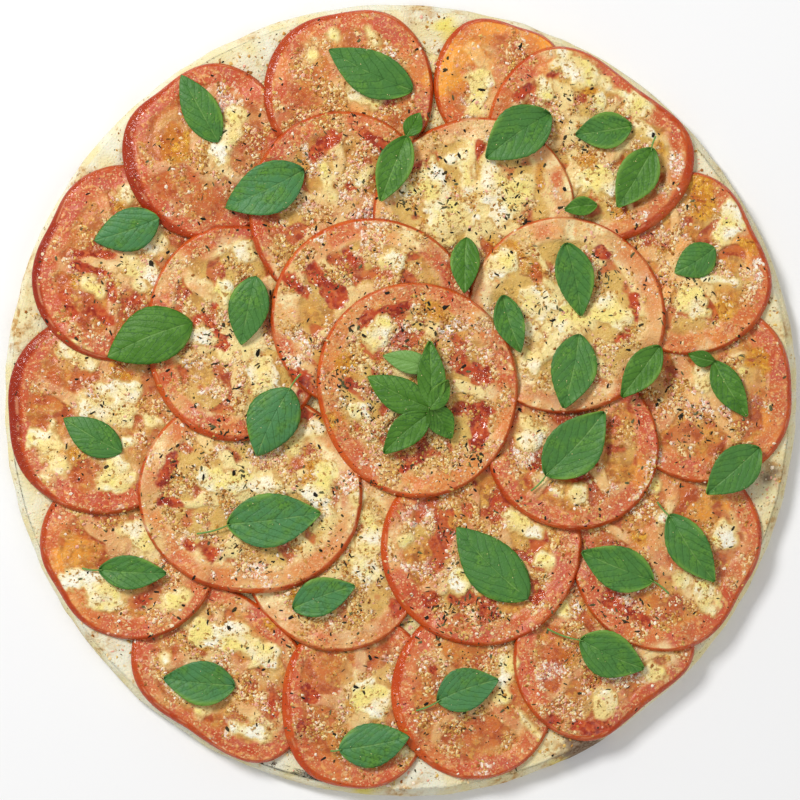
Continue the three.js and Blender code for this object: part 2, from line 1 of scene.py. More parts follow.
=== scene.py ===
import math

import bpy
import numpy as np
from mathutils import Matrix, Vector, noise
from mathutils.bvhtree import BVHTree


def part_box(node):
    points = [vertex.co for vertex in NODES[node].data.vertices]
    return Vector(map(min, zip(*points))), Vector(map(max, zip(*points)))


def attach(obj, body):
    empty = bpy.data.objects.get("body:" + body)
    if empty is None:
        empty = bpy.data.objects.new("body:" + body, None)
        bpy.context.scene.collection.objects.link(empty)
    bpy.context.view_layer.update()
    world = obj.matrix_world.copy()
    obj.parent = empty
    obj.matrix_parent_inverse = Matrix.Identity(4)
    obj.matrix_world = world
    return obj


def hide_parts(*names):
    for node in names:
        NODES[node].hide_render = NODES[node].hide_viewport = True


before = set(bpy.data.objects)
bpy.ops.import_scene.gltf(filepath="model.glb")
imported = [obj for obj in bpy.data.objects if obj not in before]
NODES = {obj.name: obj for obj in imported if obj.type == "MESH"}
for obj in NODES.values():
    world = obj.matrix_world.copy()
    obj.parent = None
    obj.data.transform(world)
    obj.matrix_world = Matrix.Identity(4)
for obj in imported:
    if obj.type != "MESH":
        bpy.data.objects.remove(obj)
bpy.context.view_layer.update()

# %% [markdown]
# # A margherita pizza
# A 300 mm pizza seen from straight above: a thin dough base with a low browned rim, melted
# cheese, twenty-four overlapping tomato slices, basil leaves, dried herbs and grated cheese.
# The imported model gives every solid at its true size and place. Here each one is dressed: a
# fine surface is modelled, laid over its solid, and given a procedural finish. All lengths in
# this lesson are millimetres until a mesh is written, and then they turn to metres.

MM = 0.001
SLICES = sorted(name for name in NODES if name.startswith("tomato"))

# %% [markdown]
# ## Reading the solids
# A fine surface has to follow its solid, as a cloth follows a table. Blender's ray cast on a
# tree of faces is the quickest feeler: it drops a line on the solid and says where it lands.
# Smooth noise then gives the unevenness that baked food has everywhere.

# %% Feelers
DOWN = Vector((0, 0, -1))
UP = Vector((0, 0, 1))
HIGH = 100 * MM    # above the whole pizza
WIDE = 200 * MM    # outside of the whole pizza


def tree_of(names):
    """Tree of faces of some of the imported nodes."""
    corners, faces = [], []
    for name in names:
        mesh = NODES[name].data
        start = len(corners)
        corners += [v.co.copy() for v in mesh.vertices]
        faces += [[start + k for k in p.vertices] for p in mesh.polygons]
    return BVHTree.FromPolygons(corners, faces)


def top_of(tree, x, y):
    """Height in mm of the upper side of a tree over a place in mm, or None beside it."""
    hit = tree.ray_cast(Vector((x * MM, y * MM, HIGH)), DOWN)[0]
    return hit.z / MM if hit else None


def underside_of(tree, x, y, start=-10):
    """Height in mm of the lower side of a tree, felt from below."""
    hit = tree.ray_cast(Vector((x * MM, y * MM, start * MM)), UP)[0]
    return hit.z / MM if hit else None


print("feelers for", len(NODES), "solids")

# %% Uneven fields
def lumps(places, size, seed):
    """Smooth noise from -1 to 1 at places in mm, whose lumps have that size in mm."""
    shift = Vector((seed * 17.3, seed * 5.1, seed * 9.7))
    return np.array([noise.noise(Vector(p) / size + shift) for p in places.tolist()])


def ramp(values, low, high):
    """0 below low, 1 above high and smooth between them."""
    t = np.clip((values - low) / (high - low), 0, 1)
    return t * t * (3 - 2 * t)


def in_spots(places, spots, soft, ragged, seed):
    """1 inside spots (x, y, radius) or strokes (x, y, radius, end x, end y), 0 outside them."""
    wobble = lumps(places, 9, seed) + 0.8 * lumps(places, 3.6, seed + 1)
    wobble += 0.5 * lumps(places, 1.5, seed + 2)
    cover = np.zeros(len(places))
    for x, y, radius, *end in spots:
        run = np.array([end[0] - x, end[1] - y]) if end else np.array([1e-6, 0])
        part = np.clip(((places[:, :2] - (x, y)) @ run) / (run @ run), 0, 1)
        far = np.hypot(places[:, 0] - x - part * run[0], places[:, 1] - y - part * run[1])
        near = far < 2.5 * radius + soft
        edge = radius * (1 + ragged * wobble[near]) - far[near]
        cover[near] = np.maximum(cover[near], ramp(edge, -soft, soft))
    return cover


print("half way up a ramp:", ramp(np.array([0.5]), 0, 1)[0])

# %% [markdown]
# ## Where things have melted, dried and browned
# On the real pizza the cheese melted into pale puddles, seed chambers broke open into red
# jelly, oil pooled amber, and some flesh stayed smooth and bare. These places are listed in
# mm from the middle. Three numbers are a spot with its radius, and five are a stroke from
# one place to another with its half width. Ragged edges turn them into puddles and stains.

# %% Spots on the toppings
CREAM = [
    (-102, 51, 3.5, -93, 47), (-97.5, 43, 3), (-91, 58.5, 4), (-118, 44, 2.2, -112, 40),
    (-102, 77, 3.5), (-125, 20, 3.2, -116, 14), (-110, 4, 3.5, -100, 2.6),
    (-133, -10, 4.5, -130, -25), (-127, -25, 2.5), (-115, -3, 5, -105, -5.5), (-93, -8.5, 3),
    (-102.5, -16, 2.5), (-106, -25, 4.5, -110, -30), (-112, -31, 3, -102, -30),
    (-100, -49, 4, -96, -54), (-122, -67, 4.5, -108.5, -72.5), (-110, -74, 4),
    (-86, -76, 3.5, -81, -74), (-67.5, 93.4, 4.5, -62.6, 98.6), (-62, 106.5, 3.5),
    (-25, 136.5, 2), (-12, 139, 1.3, -9.4, 133.5), (-33, 129, 2.2), (-17, 115, 2.8, -10, 112),
    (-28.5, 87.4, 1.6, -27.4, 79), (-15, 81.4, 2.5, -12.4, 85), (-25, 76, 2),
    (30, 120, 4.2, 29, 111.5), (62, 127.5, 5, 70, 122), (90, 111.5, 6, 92.5, 112.5),
    (89, 103.5, 2.5, 95.5, 99.5), (74, 111, 3.5), (55, 116, 4), (77.5, 120, 2.5, 84, 116),
    (70.5, 82.5, 5, 77.5, 81.5), (12.5, 83.5, 6, 12.5, 77.5), (35, 85, 5.5, 36, 77.5),
    (18.5, 90, 3), (24, 92.5, 2.5, 25, 77.5), (22, 70, 6), (38, 70, 4.5, 46, 79), (3, 78, 4),
    (15, 64, 5), (-2, 52, 4), (125, 70, 4.5, 122.5, 61), (113.5, 46, 1.6, 126, 44),
    (110, 36, 5), (80, 32, 5, 76.5, 36), (39, 51, 6), (52, 34, 7), (63, 30, 6.5),
    (48, 15, 5), (48, 27, 4.5), (70, 46, 2.5, 66, 38), (128.5, 11, 2), (114.5, 8, 4),
    (-72.5, -29, 4, -50, -32), (-40, -16.5, 3.5, -32, -11), (-27, -28, 4.5, -30, -36.5),
    (-33.5, -35, 4), (-30, -46, 3, -27, -42.5), (-10, -52.5, 5, -12.5, -62.5),
    (-12.5, -44, 3.5), (-16, -36, 3), (49, -10, 4, 47.5, -15), (66.5, -36, 3.5),
    (58.5, -35, 2.5), (2, -53, 2.5), (22, -67.5, 4), (54, -60.5, 3), (42.5, -43.5, 3, 50, -49),
    (95, -31.5, 2.5), (99, -44.5, 2.5), (121.5, -50, 4.5), (113, -70, 4, 114, -77.5),
    (106, -68, 3), (-66, 41, 4), (-58, 55, 4), (-54, 12, 5, -49, 4), (-75, 24, 4),
    (-62, 30, 2, -52, 34), (-10, 24, 5), (-16, -4, 4), (-6, 28, 3.5), (-74, -87, 5, -62, -89),
    (-61, -91, 4.5, -51, -96), (-88, -96.5, 2.5), (-74.5, -116, 2.5), (-62, -123, 2.4, -51, -126),
    (-12, -110, 7), (-8, -116, 4), (2, -132, 2), (41, -99, 3, 38, -106), (45, -118, 1.2, 54, -128),
    (38, -111, 2.5), (60.5, -78, 3), (77, -113, 4.5), (95, -102, 4),
]
JELLY = [
    (26.5, -3.5, 1.5, 34, -4), (30, -5, 3, 29, -16), (1, -26.5, 2, 7, -22.5), (24, 12, 3, 32, 10),
    (-13, 29, 2.5, 2.5, 36), (-32.7, 49, 3.3, -23, 36.7), (-20, 55, 1.8, -17, 51),
    (-12.5, 30, 2.3, -3, 34), (-42, 45, 2, -35, 40), (-37, 7.5, 3.5, -34, 2), (-35, -6, 3),
    (-75, 29, 3, -67, 21), (-69, 34.5, 2.2), (-121, 55, 1.5, -108, 54),
    (-121.5, 50.6, 1.6, -109, 47), (-126, 39, 1.6, -122, 32), (-108.5, 43, 1.5, -107, 38),
    (-102, 37, 2, -99, 38), (-115, 33, 2, -109, 30), (-32, 92.6, 2.2, -24, 98.6),
    (-13.5, 99, 2.5, -6, 95), (-18.4, 80, 1.8), (-4, 112, 3), (55.5, 120.5, 0.9, 62, 124.5),
    (43.5, 113, 1.8, 48.5, 117), (3, 86, 1.2, 14, 90.5), (30, 95, 2, 30.5, 91),
    (85.5, 25, 1.5, 81, 22), (87.5, 38.5, 1.6, 88, 31), (-85, -22.5, 2.5, -88.5, -30),
    (-88.5, -38, 1.8, -82.5, -39), (-78.5, -55, 2), (-71, -57, 2.5), (50, -25, 1.8, 54, -24),
    (66, -29, 2.5), (72.5, -23.5, 2.2), (35.5, -38, 2.5), (19, -42.5, 1.6),
    (78, -75, 2.2, 92.5, -83.5), (-96, -75, 3), (11, -75, 3), (51, -74, 2.5), (-1, -78, 3.5),
    (80, -72, 3), (-32.5, -111, 3.5), (-36, -121, 2.5), (67, -122, 3, 83, -124),
    (57.5, -120, 2), (12.5, -101, 1.5), (-48, -112, 2, -47, -118), (75, 55, 2.5),
]
SMOOTH = [
    (-71.6, 74.6, 7), (-135, -7, 5), (-118, -37, 3, -108, -38.5), (-125, -47.5, 6),
    (77.5, 125, 3.5, 85, 119), (97.5, 106.5, 4, 104, 97.5), (95, 75, 4),
    (59, 82.5, 3, 62.5, 87.5), (105, 12.5, 5), (82.5, -2.5, 5), (45, -32.5, 3.5, 62.5, -41.5),
    (99, -59, 3.5, 105, -60), (5, -57.5, 4, 17.5, -53.5), (61.5, -66.5, 4, 57.5, -72.5),
    (-67.5, -6.5, 4), (7.5, -91.5, 4), (5, -106, 3.5), (87.5, -110, 5), (56.5, -110, 3),
    (-69.5, -121.5, 5), (-60, -98.5, 3.5), (-30, -96, 4), (-58.5, 118.5, 6),
    (-122, -58.5, 4, -105, -55), (22.5, 128.5, 7), (125, 53.5, 6), (117.5, -40, 6),
    (87.5, -26.5, 4), (-25, -119, 4), (-15, -96.5, 5), (40, -119, 5), (-62.5, -130.5, 5),
]
AMBER = [
    (-123, 44, 2), (-105, 72, 2.5), (-82.5, 95.6, 6), (41, 57, 2.5, 52, 47), (34, 57, 2, 37.5, 52),
    (46, 39, 2, 49, 37.5), (52, 42, 2, 55, 39), (72.5, 115.5, 4), (97.5, 94.5, 2.5),
    (112.5, 82.5, 4, 114, 72.5), (133, 15, 4), (121, 35, 4), (31, 88, 1.8, 30, 81),
    (52.5, 87, 1.5, 52.5, 80), (-32, -25, 2.5), (-34, -30, 2.5), (21.5, -3, 1.5), (-123, -19, 3),
    (-105, 11, 4), (130.5, 58.5, 3.5), (82.5, 68.5, 3), (70.5, 88.5, 3), (-106.5, -28, 2),
    (-106, -6.5, 2.5), (-98, -50.5, 2), (-49, -84.5, 2), (-74.5, -93, 2), (-18.5, -115, 2),
    (-5, -110, 1.5), (77, -109, 2.5), (63.5, -95, 3.5), (-20, 14, 4), (-26, -8, 4),
    (10, 36, 3, 16, 30), (-38, -73, 3), (90, -52, 3),
]
CHALKY = [
    (17.5, 110, 5), (14, -62, 4), (7.5, -43.5, 5), (47, -22.5, 3.5), (105, -33, 4),
    (-103.5, -37, 4), (-53.5, -65, 5), (-5, -90, 2.5, -4, -106), (-30, 80, 8), (-10, 72, 7),
    (-60, -20, 7), (-20, 60, 5), (-40, 20, 6), (0, 20, 6), (30, 110, 5), (-2, -62, 7),
    (40, -60, 6), (60, 50, 5), (82, -75, 5), (110, 60, 5), (-120, 0, 5),
]
GOLDEN = [
    (18, 124, 8), (24, 130, 6), (-58.5, 118.5, 7), (-122, -58.5, 7), (125, 53.5, 7),
    (117.5, -40, 7), (87.5, -26.5, 6),
]
REDDER = [(42, 130, 8), (-72, 77, 9), (-100, 92, 8), (-118, -37, 5), (61.5, -66.5, 5)]
BARE = [
    (-139, -11, 10), (-129, 8, 7.5), (-128, -54, 8), (43, -135, 6), (112, 24, 8),
    (141, 15, 8), (34, 137, 10), (81, -22, 7), (-90, 81, 10), (-26, -105, 8),
    (45, -122, 5), (-128, 38, 7.5), (-94, 105, 7.5), (112, 94, 4.5), (90, 49, 3),
    (-137, -41, 7.5), (-4, -135, 4), (135, -45, 4.5), (60, -8, 3), (-38, 116, 5),
    (-42, 33, 5, -24, 33),
]
HERBY = [
    (-68, -19, 15), (-56, -49, 13.5), (-38, -45, 10), (11, 79, 13), (38, 79, 13), (-19, -60, 10),
    (-11, -71, 8), (0, -26, 11), (-19, 4, 15), (8, 26, 13.5), (22, -22, 11), (-38, 82, 11),
    (-22, 94, 10), (-64, 26, 9), (75, 45, 10.5), (60, 34, 11), (26, -82, 13), (19, -52, 10),
    (60, -22, 7.5), (82, -75, 10), (109, -11, 10), (112, 41, 10), (68, 109, 11), (26, -112, 10),
    (75, -98, 10), (30, -71, 7.5), (-30, 45, 8),
]
BURNT = [(66, -132, 5, 72, -129), (142, -26, 1.6, 137.5, -29)]
TOASTED_RIM = [
    (-143.5, 30, 5, -147, 22.5), (7.5, 146, 4), (138.5, -45, 3), (-112, -92, 4.5),
    (-122, 84, 5), (90, -128, 4), (-2, -147, 4), (109, 109, 3), (-112, -112, 4), (144, 26, 3),
    (-58, 139, 3), (40, -142, 5), (66, -131, 11), (141, -28, 5),
]
YELLOW_RIM = [(16.5, 140, 5), (60, -138, 3), (30, -136, 4), (-14, -146, 3)]
print(len(CREAM), "puddles of cheese,", len(JELLY), "of jelly,", len(AMBER), "of oil")

# %% [markdown]
# ## Making finishes
# A finish is a small network of shader nodes. Colours are picked as the eye sees them, in
# sRGB, and one function turns them to the linear light that the renderer adds up. One helper
# adds a node with its settings and its links, so each finish below reads as a recipe.

# %% Shader helpers
def colour(value):
    """Linear colour of an sRGB hex text. A socket stays as it is, and a number is a plain grey."""
    if isinstance(value, bpy.types.NodeSocket):
        return value
    if not isinstance(value, str):
        return [value, value, value, 1.0]
    parts = [int(value[k:k + 2], 16) / 255 for k in (1, 3, 5)]
    return [c / 12.92 if c <= 0.04045 else ((c + 0.055) / 1.055) ** 2.4 for c in parts] + [1.0]


def add(finish, kind, *inputs, **settings):
    """Adds a shader node. Each input is a pair of a socket and a value or another's output."""
    made = finish.node_tree.nodes.new("ShaderNode" + kind)
    for name, value in settings.items():
        setattr(made, name, value)
    for key, value in inputs:
        if isinstance(value, bpy.types.NodeSocket):
            finish.node_tree.links.new(value, made.inputs[key])
        else:
            made.inputs[key].default_value = value
    return made


def new_finish(name):
    """Empty finish and its Object coordinates."""
    finish = bpy.data.materials.new(name)
    finish.use_nodes = True
    finish.node_tree.nodes.clear()
    return finish, add(finish, "TexCoord").outputs["Object"]


def between(finish, value, low, high):
    """Mask that goes from 0 to 1 as a value goes from low to high."""
    return add(
        finish, "MapRange", ("Value", value), ("From Min", low), ("From Max", high)
    ).outputs["Result"]


def speckle(finish, place, size, low, high, detail=2.0):
    """Mask of noise whose grain has that size in mm, 0 below low and 1 above high."""
    grain = add(finish, "TexNoise", ("Vector", place), ("Scale", 1 / (size * MM)), ("Detail", detail))
    return between(finish, grain.outputs["Fac"], low, high)


def product(finish, *masks):
    """Masks, or masks and numbers, multiplied with each other."""
    result = masks[0]
    for mask in masks[1:]:
        result = add(finish, "Math", (0, result), (1, mask), operation="MULTIPLY").outputs[0]
    return result


def painted(finish, base, *layers):
    """A base under layers from the lowest up, each one or more masks and then a colour."""
    below = colour(base)
    for *masks, over in layers:
        below = add(
            finish, "Mix", (0, product(finish, *masks)), (6, below), (7, colour(over)),
            data_type="RGBA", clamp_factor=True,
        ).outputs[2]
    return below


def mark(finish, name):
    """Mask that the mesh itself carries at its points."""
    return add(finish, "Attribute", attribute_name=name).outputs["Fac"]


def relief(finish, layers):
    """Bump from masks, each with its height in mm."""
    height = None
    for mask, amount in layers:
        part = product(finish, mask, amount * MM)
        if height is not None:
            part = add(finish, "Math", (0, height), (1, part), operation="ADD").outputs[0]
        height = part
    return add(finish, "Bump", ("Height", height), ("Distance", 1.0)).outputs["Normal"]


def glow(weight, *depths):
    """Settings for light that goes these depths in mm into a piece, in red, green and blue."""
    return [
        ("Subsurface Weight", weight), ("Subsurface Radius", [depth * MM for depth in depths]),
        ("Subsurface Scale", 1.0),
    ]


def coated(finish, tint, rough, *inputs):
    """Finish with its shader, which gets a colour, a roughness and whatever else it needs."""
    shader = add(finish, "BsdfPrincipled", ("Base Color", tint), ("Roughness", rough), *inputs)
    add(finish, "OutputMaterial", ("Surface", shader.outputs[0]))
    return finish


print("middle grey in linear light:", round(colour("#808080")[0], 3))

# %% [markdown]
# ## The dough's finish
# Baked wheat dough is dull and pale where the flour stayed dry, straw to golden where it
# dried, and dark brown on the blisters that touched the oven's heat. The mesh carries masks
# for the toasted and burnt places, and fine noise breaks them up. Light goes a little way
# into bread, so it gets a touch of scattering.

# %% Baked wheat dough
def baked_dough():
    finish, place = new_finish("baked wheat dough")
    marks = ("toast", "burnt", "flour", "yellow")
    toast, burnt, flour, yellow = [mark(finish, name) for name in marks]
    blotch = speckle(finish, place, 9, 0.42, 0.62)
    freckle = speckle(finish, place, 2.2, 0.58, 0.7, 4)
    speck = speckle(finish, place, 1.1, 0.66, 0.72, 3)
    pore = speckle(finish, place, 0.9, 0.35, 0.6, 3)
    tint = painted(
        finish, "#EBDDA8",
        (blotch, "#EFE6C4"),
        (flour, "#ECE9D2"),
        (freckle, blotch, "#D9B878"),
        (yellow, "#EBDA70"),
        (toast, blotch, "#DDBE80"),
        (toast, speckle(finish, place, 2.6, 0.45, 0.6, 4), "#C08A40"),
        (toast, freckle, "#94602A"),
        (speck, "#9A7440"),
        (burnt, "#6E4C30"),
        (burnt, pore, "#94806A"),
    )
    bump = relief(finish, [(blotch, 0.25), (pore, 0.14), (freckle, 0.1)])
    # dry and porous, so it is dull and shows no sharp light, and its edges look soft
    return coated(
        finish, tint, 0.82, ("Normal", bump), ("Specular IOR Level", 0.3),
        *glow(0.1, 0.9, 0.5, 0.3),
    )


DOUGH = baked_dough()
print(DOUGH.name, "has", len(DOUGH.node_tree.nodes), "nodes")

# %% [markdown]
# ## The melted cheese's finish
# Mozzarella melts to a smooth, slightly oily cream skin. Its oil pools yellow, and thin spots
# toast to tan. It shines softly, so it is less rough than bread, and it scatters light.

# %% Melted mozzarella
def melted_cheese():
    finish, place = new_finish("melted mozzarella")
    oil = speckle(finish, place, 7, 0.5, 0.66)
    baked = speckle(finish, place, 3.5, 0.58, 0.7, 3)
    curd = speckle(finish, place, 1.6, 0.4, 0.62, 3)
    tint = painted(
        finish, "#EEDCA0",
        (oil, "#E3C860"),
        (curd, oil, "#F4EBC6"),
        (baked, "#CE9A58"),
    )
    bump = relief(finish, [(curd, 0.35), (baked, -0.15)])
    # a film of oil gives it a soft shine, and milk fat lets light in deeper than bread does
    return coated(finish, tint, 0.42, ("Normal", bump), *glow(0.15, 1.2, 0.9, 0.5))


CHEESE = melted_cheese()
print(CHEESE.name, "has", len(CHEESE.node_tree.nodes), "nodes")

# %% [markdown]
# ## The tomato's finish
# A baked slice has an orange-red skin, a wall of salmon flesh with paler fibres, seed chambers
# that sink and turn tan or red with jelly, and melted cheese over parts of it. It is wet, so
# it has a low roughness that the dry cheese on it breaks up. The masks come with the mesh.

# %% Baked tomato
def crumb_crust(finish, place, size):
    """Cells of a crust of fine crumbs, that size in mm: its draw, its crown and the gaps between
    crumbs, which get painted shade.
    """
    bend = add(finish, "TexNoise", ("Vector", place), ("Scale", 1 / (2 * size * MM)))
    bent = add(
        finish, "VectorMath", (0, bend.outputs["Color"]), (1, [1.2 * size * MM] * 3), (2, place),
        operation="MULTIPLY_ADD",
    ).outputs[0]
    cells = add(finish, "TexVoronoi", ("Vector", bent), ("Scale", 1 / (size * MM)))
    draw = add(finish, "SeparateColor", (0, cells.outputs["Color"])).outputs[0]
    crown = between(finish, cells.outputs["Distance"], 0.75, 0.0)
    # the gaps between crumbs, where shade is painted
    painted_shade_gaps = between(finish, cells.outputs["Distance"], 0.42, 0.8)
    return draw, crown, painted_shade_gaps


# one of these masks is a painted highlight: a pale line along the skin
TOMATO_MARKS = [
    "skin", "dark_skin", "painted_highlight", "hollow", "cream", "jelly", "tan", "ripe", "gold", "creamy",
    "septa", "dusty", "chalky",
]


def baked_tomato():
    finish, place = new_finish("baked tomato slice")
    skin, dark_skin, painted_highlight, hollow, cream, jelly, tan, ripe, gold, creamy, septa, dusty, chalky = [
        mark(finish, name) for name in TOMATO_MARKS
    ]
    cloud = speckle(finish, place, 12, 0.42, 0.6)
    blush = speckle(finish, place, 7, 0.5, 0.58, 3)
    patch = speckle(finish, place, 4, 0.46, 0.58, 3)
    fibre = speckle(finish, place, 1.8, 0.48, 0.64, 3)
    dots = speckle(finish, place, 0.8, 0.57, 0.66, 2)
    brown = speckle(finish, place, 1.5, 0.56, 0.64, 4)
    lime = speckle(finish, place, 9, 0.46, 0.64, 3)
    draw, crown, painted_shade_gaps = crumb_crust(finish, place, 0.85)
    heap = product(finish, dusty, between(finish, draw, 0.3, 0.4))
    flesh = painted(
        finish, "#DD884A",
        (gold, "#F6A236"),
        (ripe, "#CC5E36"),
        (ripe, cloud, "#C34C23"),
        (ripe, blush, "#C85E44"),
        (creamy, "#EFD08A"),
        (creamy, blush, "#FAE8AE"),
    )
    cheesy = between(finish, cream, 0.5, 0.85)
    pale_heap = product(finish, dusty, creamy)
    tint = painted(
        finish, flesh,
        (fibre, patch, "#E9A35C"),
        (dots, "#F4BE84"),
        (hollow, "#C77D29"),
        (hollow, patch, "#9E5418"),
        (hollow, fibre, "#E5A946"),
        (hollow, creamy, "#DDBA62"),
        (septa, "#F3DC94"),
        (dusty, speckle(finish, place, 3, 0.4, 0.65), "#D3893A"),
        (pale_heap, "#DFC27A"),
        # painted shade in the gaps between the crumbs
        (dusty, painted_shade_gaps, "#9E4E22"),
        (pale_heap, painted_shade_gaps, "#A87434"),
        (dusty, painted_shade_gaps, blush, "#983A22"),
        (heap, crown, "#E9AB54"),
        (heap, between(finish, draw, 0.62, 0.68), "#FCE2A4"),
        (heap, between(finish, draw, 0.86, 0.9), "#CC7C29"),
        (chalky, crown, "#F2BE9E"),
        (chalky, between(finish, draw, 0.55, 0.6), "#FFF3E2"),
        (tan, "#CB831E"),
        (tan, fibre, "#E9AF39"),
        (tan, brown, "#964E15"),
        (jelly, "#BA4624"),
        (jelly, patch, "#942C18"),
        (jelly, fibre, "#D06A36"),
        (between(finish, cream, 0.05, 0.35), patch, "#B87A2C"),
        (between(finish, cream, 0.12, 0.75), "#F3D88C"),
        (cheesy, cloud, "#FFF8E0"),
        (cheesy, lime, "#F6E182"),
        (cheesy, brown, "#B98A44"),
        (skin, "#C44814"),
        (skin, cloud, "#D25C1C"),
        (dark_skin, "#96290F"),
        # painted highlight: a pale line along the skin where light glints
        (painted_highlight, "#F0A878"),
    )
    rough = painted(
        finish, 0.34,
        (cream, 0.42),
        (heap, 0.5),
        (tan, 0.2),
        (jelly, 0.12),
        (skin, 0.16),
    )
    dry = add(finish, "Math", (0, 1.0), (1, jelly), operation="SUBTRACT").outputs[0]
    bump = relief(finish, [
        (product(finish, fibre, dry), 0.12), (product(finish, heap, crown), 0.3), (patch, 0.15),
        (product(finish, dots, dry), 0.1),
    ])
    # wet skin and jelly catch small sharp lights, and the crumbs between them stay dull
    return coated(
        finish, tint, rough, ("Normal", bump), ("Specular IOR Level", 0.38),
        *glow(0.06, 1.0, 0.5, 0.25),
    )


TOMATO = baked_tomato()
print(TOMATO.name, "has", len(TOMATO.node_tree.nodes), "nodes")

# %% [markdown]
# ## The basil's finish
# A fresh basil blade is mid green with a soft waxy sheen. A pale rib runs down the middle, and
# side veins leave it in pairs and curve forward, with the blade puffed between them. The mesh
# carries how far along and across the blade each point is, and the veins follow from that.

# %% Fresh basil
def fresh_basil():
    finish, place = new_finish("fresh basil leaf")
    blade = add(finish, "Attribute", attribute_name="blade").outputs["Vector"]
    parts = add(finish, "SeparateXYZ", (0, blade)).outputs
    tone = mark(finish, "tone")
    side = add(finish, "Math", (0, parts["Y"]), operation="ABSOLUTE").outputs[0]
    lean = add(finish, "Math", (0, side), (1, 0.1), (2, 1.15), operation="MULTIPLY_ADD").outputs[0]
    curve = product(finish, side, lean)
    straight = add(finish, "Math", (0, parts["X"]), (1, curve), operation="SUBTRACT").outputs[0]
    torn = speckle(finish, place, 4, 0.4, 0.6)
    along = add(finish, "Math", (0, torn), (1, 0.9), (2, straight), operation="MULTIPLY_ADD").outputs[0]
    steps = add(finish, "Math", (0, along), (1, parts["Z"]), operation="DIVIDE").outputs[0]
    wrap = add(finish, "Math", (0, steps), (1, 0.5), operation="PINGPONG").outputs[0]
    vein = between(finish, wrap, 0.075, 0.01)
    puff = between(finish, wrap, 0.0, 0.5)
    rib = between(finish, side, 0.42, 0.1)
    cloud = speckle(finish, place, 6, 0.35, 0.65)
    fleck = speckle(finish, place, 0.9, 0.45, 0.65, 3)
    tint = painted(
        finish, "#447410",
        (tone, "#4A824C"),
        (cloud, torn, "#5A8C2E"),
        (fleck, cloud, "#386624"),
        (vein, 0.65, "#28561C"),
        (rib, torn, 0.5, "#80A85A"),
        (mark(finish, "edge"), "#6F9A38"),
        (mark(finish, "pale"), "#76A250"),
    )
    bump = relief(finish, [(puff, 0.05), (rib, -0.15), (fleck, 0.06), (vein, -0.05)])
    # thin wax gives a broad, weak sheen, with the light broken by the puffs between veins
    return coated(finish, tint, 0.46, ("Normal", bump), ("Specular IOR Level", 0.3))


BASIL = fresh_basil()
print(BASIL.name, "has", len(BASIL.node_tree.nodes), "nodes")

# %% [markdown]
# ## Dried herbs and grated cheese
# Both are crumbs of one thing, yet no two crumbs match: each carries its own tint, and the
# finish mixes three tones by it. Dried oregano is matt and nearly black to olive, and grated
# hard cheese is dry, pale and slightly pink where it took up tomato juice.

# %% Crumb finishes
def crumbs_of(name, tones, rough):
    finish, place = new_finish(name)
    tint_mark = mark(finish, "tint")
    middle = between(finish, tint_mark, 0.3, 0.45)
    upper = between(finish, tint_mark, 0.7, 0.85)
    fine = speckle(finish, place, 0.5, 0.4, 0.7)
    tint = painted(
        finish, tones[0],
        (middle, tones[1]),
        (upper, tones[2]),
        (fine, upper, tones[3]),
    )
    # dry crumbs are matt, and their flat faces catch the light one by one
    return coated(finish, tint, rough, ("Specular IOR Level", 0.3))


HERB = crumbs_of("dried oregano", ["#18140A", "#3C321A", "#6C6A42", "#403C22"], 0.8)
GRATED = crumbs_of("grated hard cheese", ["#ECAE94", "#F3D8A0", "#FFF7E8", "#EFCE9C"], 0.45)
TOASTED = crumbs_of("toasted grated cheese", ["#CE9444", "#E4BC66", "#B0702A", "#7E461A"], 0.5)
print("crumbs of", [finish.name for finish in (HERB, GRATED, TOASTED)])

# %% [markdown]
# ## Turning round things
# Dough, cheese and slices are all round, so each starts as a profile that is spun about the
# upright axis, as a potter throws a plate. Spinning gives even rings and spokes, and the two
# ends of the profile meet on the axis, where merging doubles closes the poles.

# %% Spinning a profile
WELD = 1e-5


def alone(piece):
    """Makes one object the only selected and active one."""
    bpy.ops.object.select_all(action="DESELECT")
    piece.select_set(True)
    bpy.context.view_layer.objects.active = piece


def spun(name, profile, spokes):
    """Closed round mesh from a profile of (radius, height) points that begins and ends on the axis."""
    mesh = bpy.data.meshes.new(name)
    edges = [(k, k + 1) for k in range(len(profile) - 1)]
    mesh.from_pydata([(r, 0, z) for r, z in profile], edges, [])
    piece = bpy.data.objects.new(name, mesh)
    bpy.context.collection.objects.link(piece)
    alone(piece)
    bpy.ops.object.mode_set(mode="EDIT")
    bpy.ops.mesh.select_all(action="SELECT")
    bpy.ops.mesh.spin(steps=spokes, angle=2 * math.pi, center=(0, 0, 0), axis=(0, 0, 1))
    bpy.ops.mesh.select_all(action="SELECT")
    bpy.ops.mesh.remove_doubles(threshold=WELD)
    bpy.ops.mesh.normals_make_consistent(inside=False)
    bpy.ops.object.mode_set(mode="OBJECT")
    return piece


def points_of(piece):
    """Points of a piece as rows of x, y, z, in the units that they were written in."""
    points = np.empty(len(piece.data.vertices) * 3)
    piece.data.vertices.foreach_get("co", points)
    return points.reshape(-1, 3)


def polar(points):
    """Distance of points from the upright axis, and their angle round it."""
    return np.hypot(points[:, 0], points[:, 1]), np.arctan2(points[:, 1], points[:, 0])


def write_points(piece, points, marks):
    """Writes points in mm to a piece in metres, with masks or plain numbers, and shades it smooth."""
    piece.data.vertices.foreach_set("co", (points * MM).ravel())
    for name, values in marks.items():
        layer = piece.data.attributes.new(name, "FLOAT", "POINT")
        values = np.clip(values, 0, 1) * np.ones(len(points))
        layer.data.foreach_set("value", values.astype(np.float32))
    piece.data.shade_smooth()
    piece.data.update()


def settle_in(piece, finish, slot, *nodes):
    """Gives a finished piece its finish, hangs it under the root and hides the solids that it stands
    for. Its slot is not used.
    """
    piece.data.materials.clear()
    piece.data.materials.append(finish)
    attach(piece, "root")
    if nodes:
        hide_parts(*nodes)


print("points nearer than", WELD, "are merged at the poles")

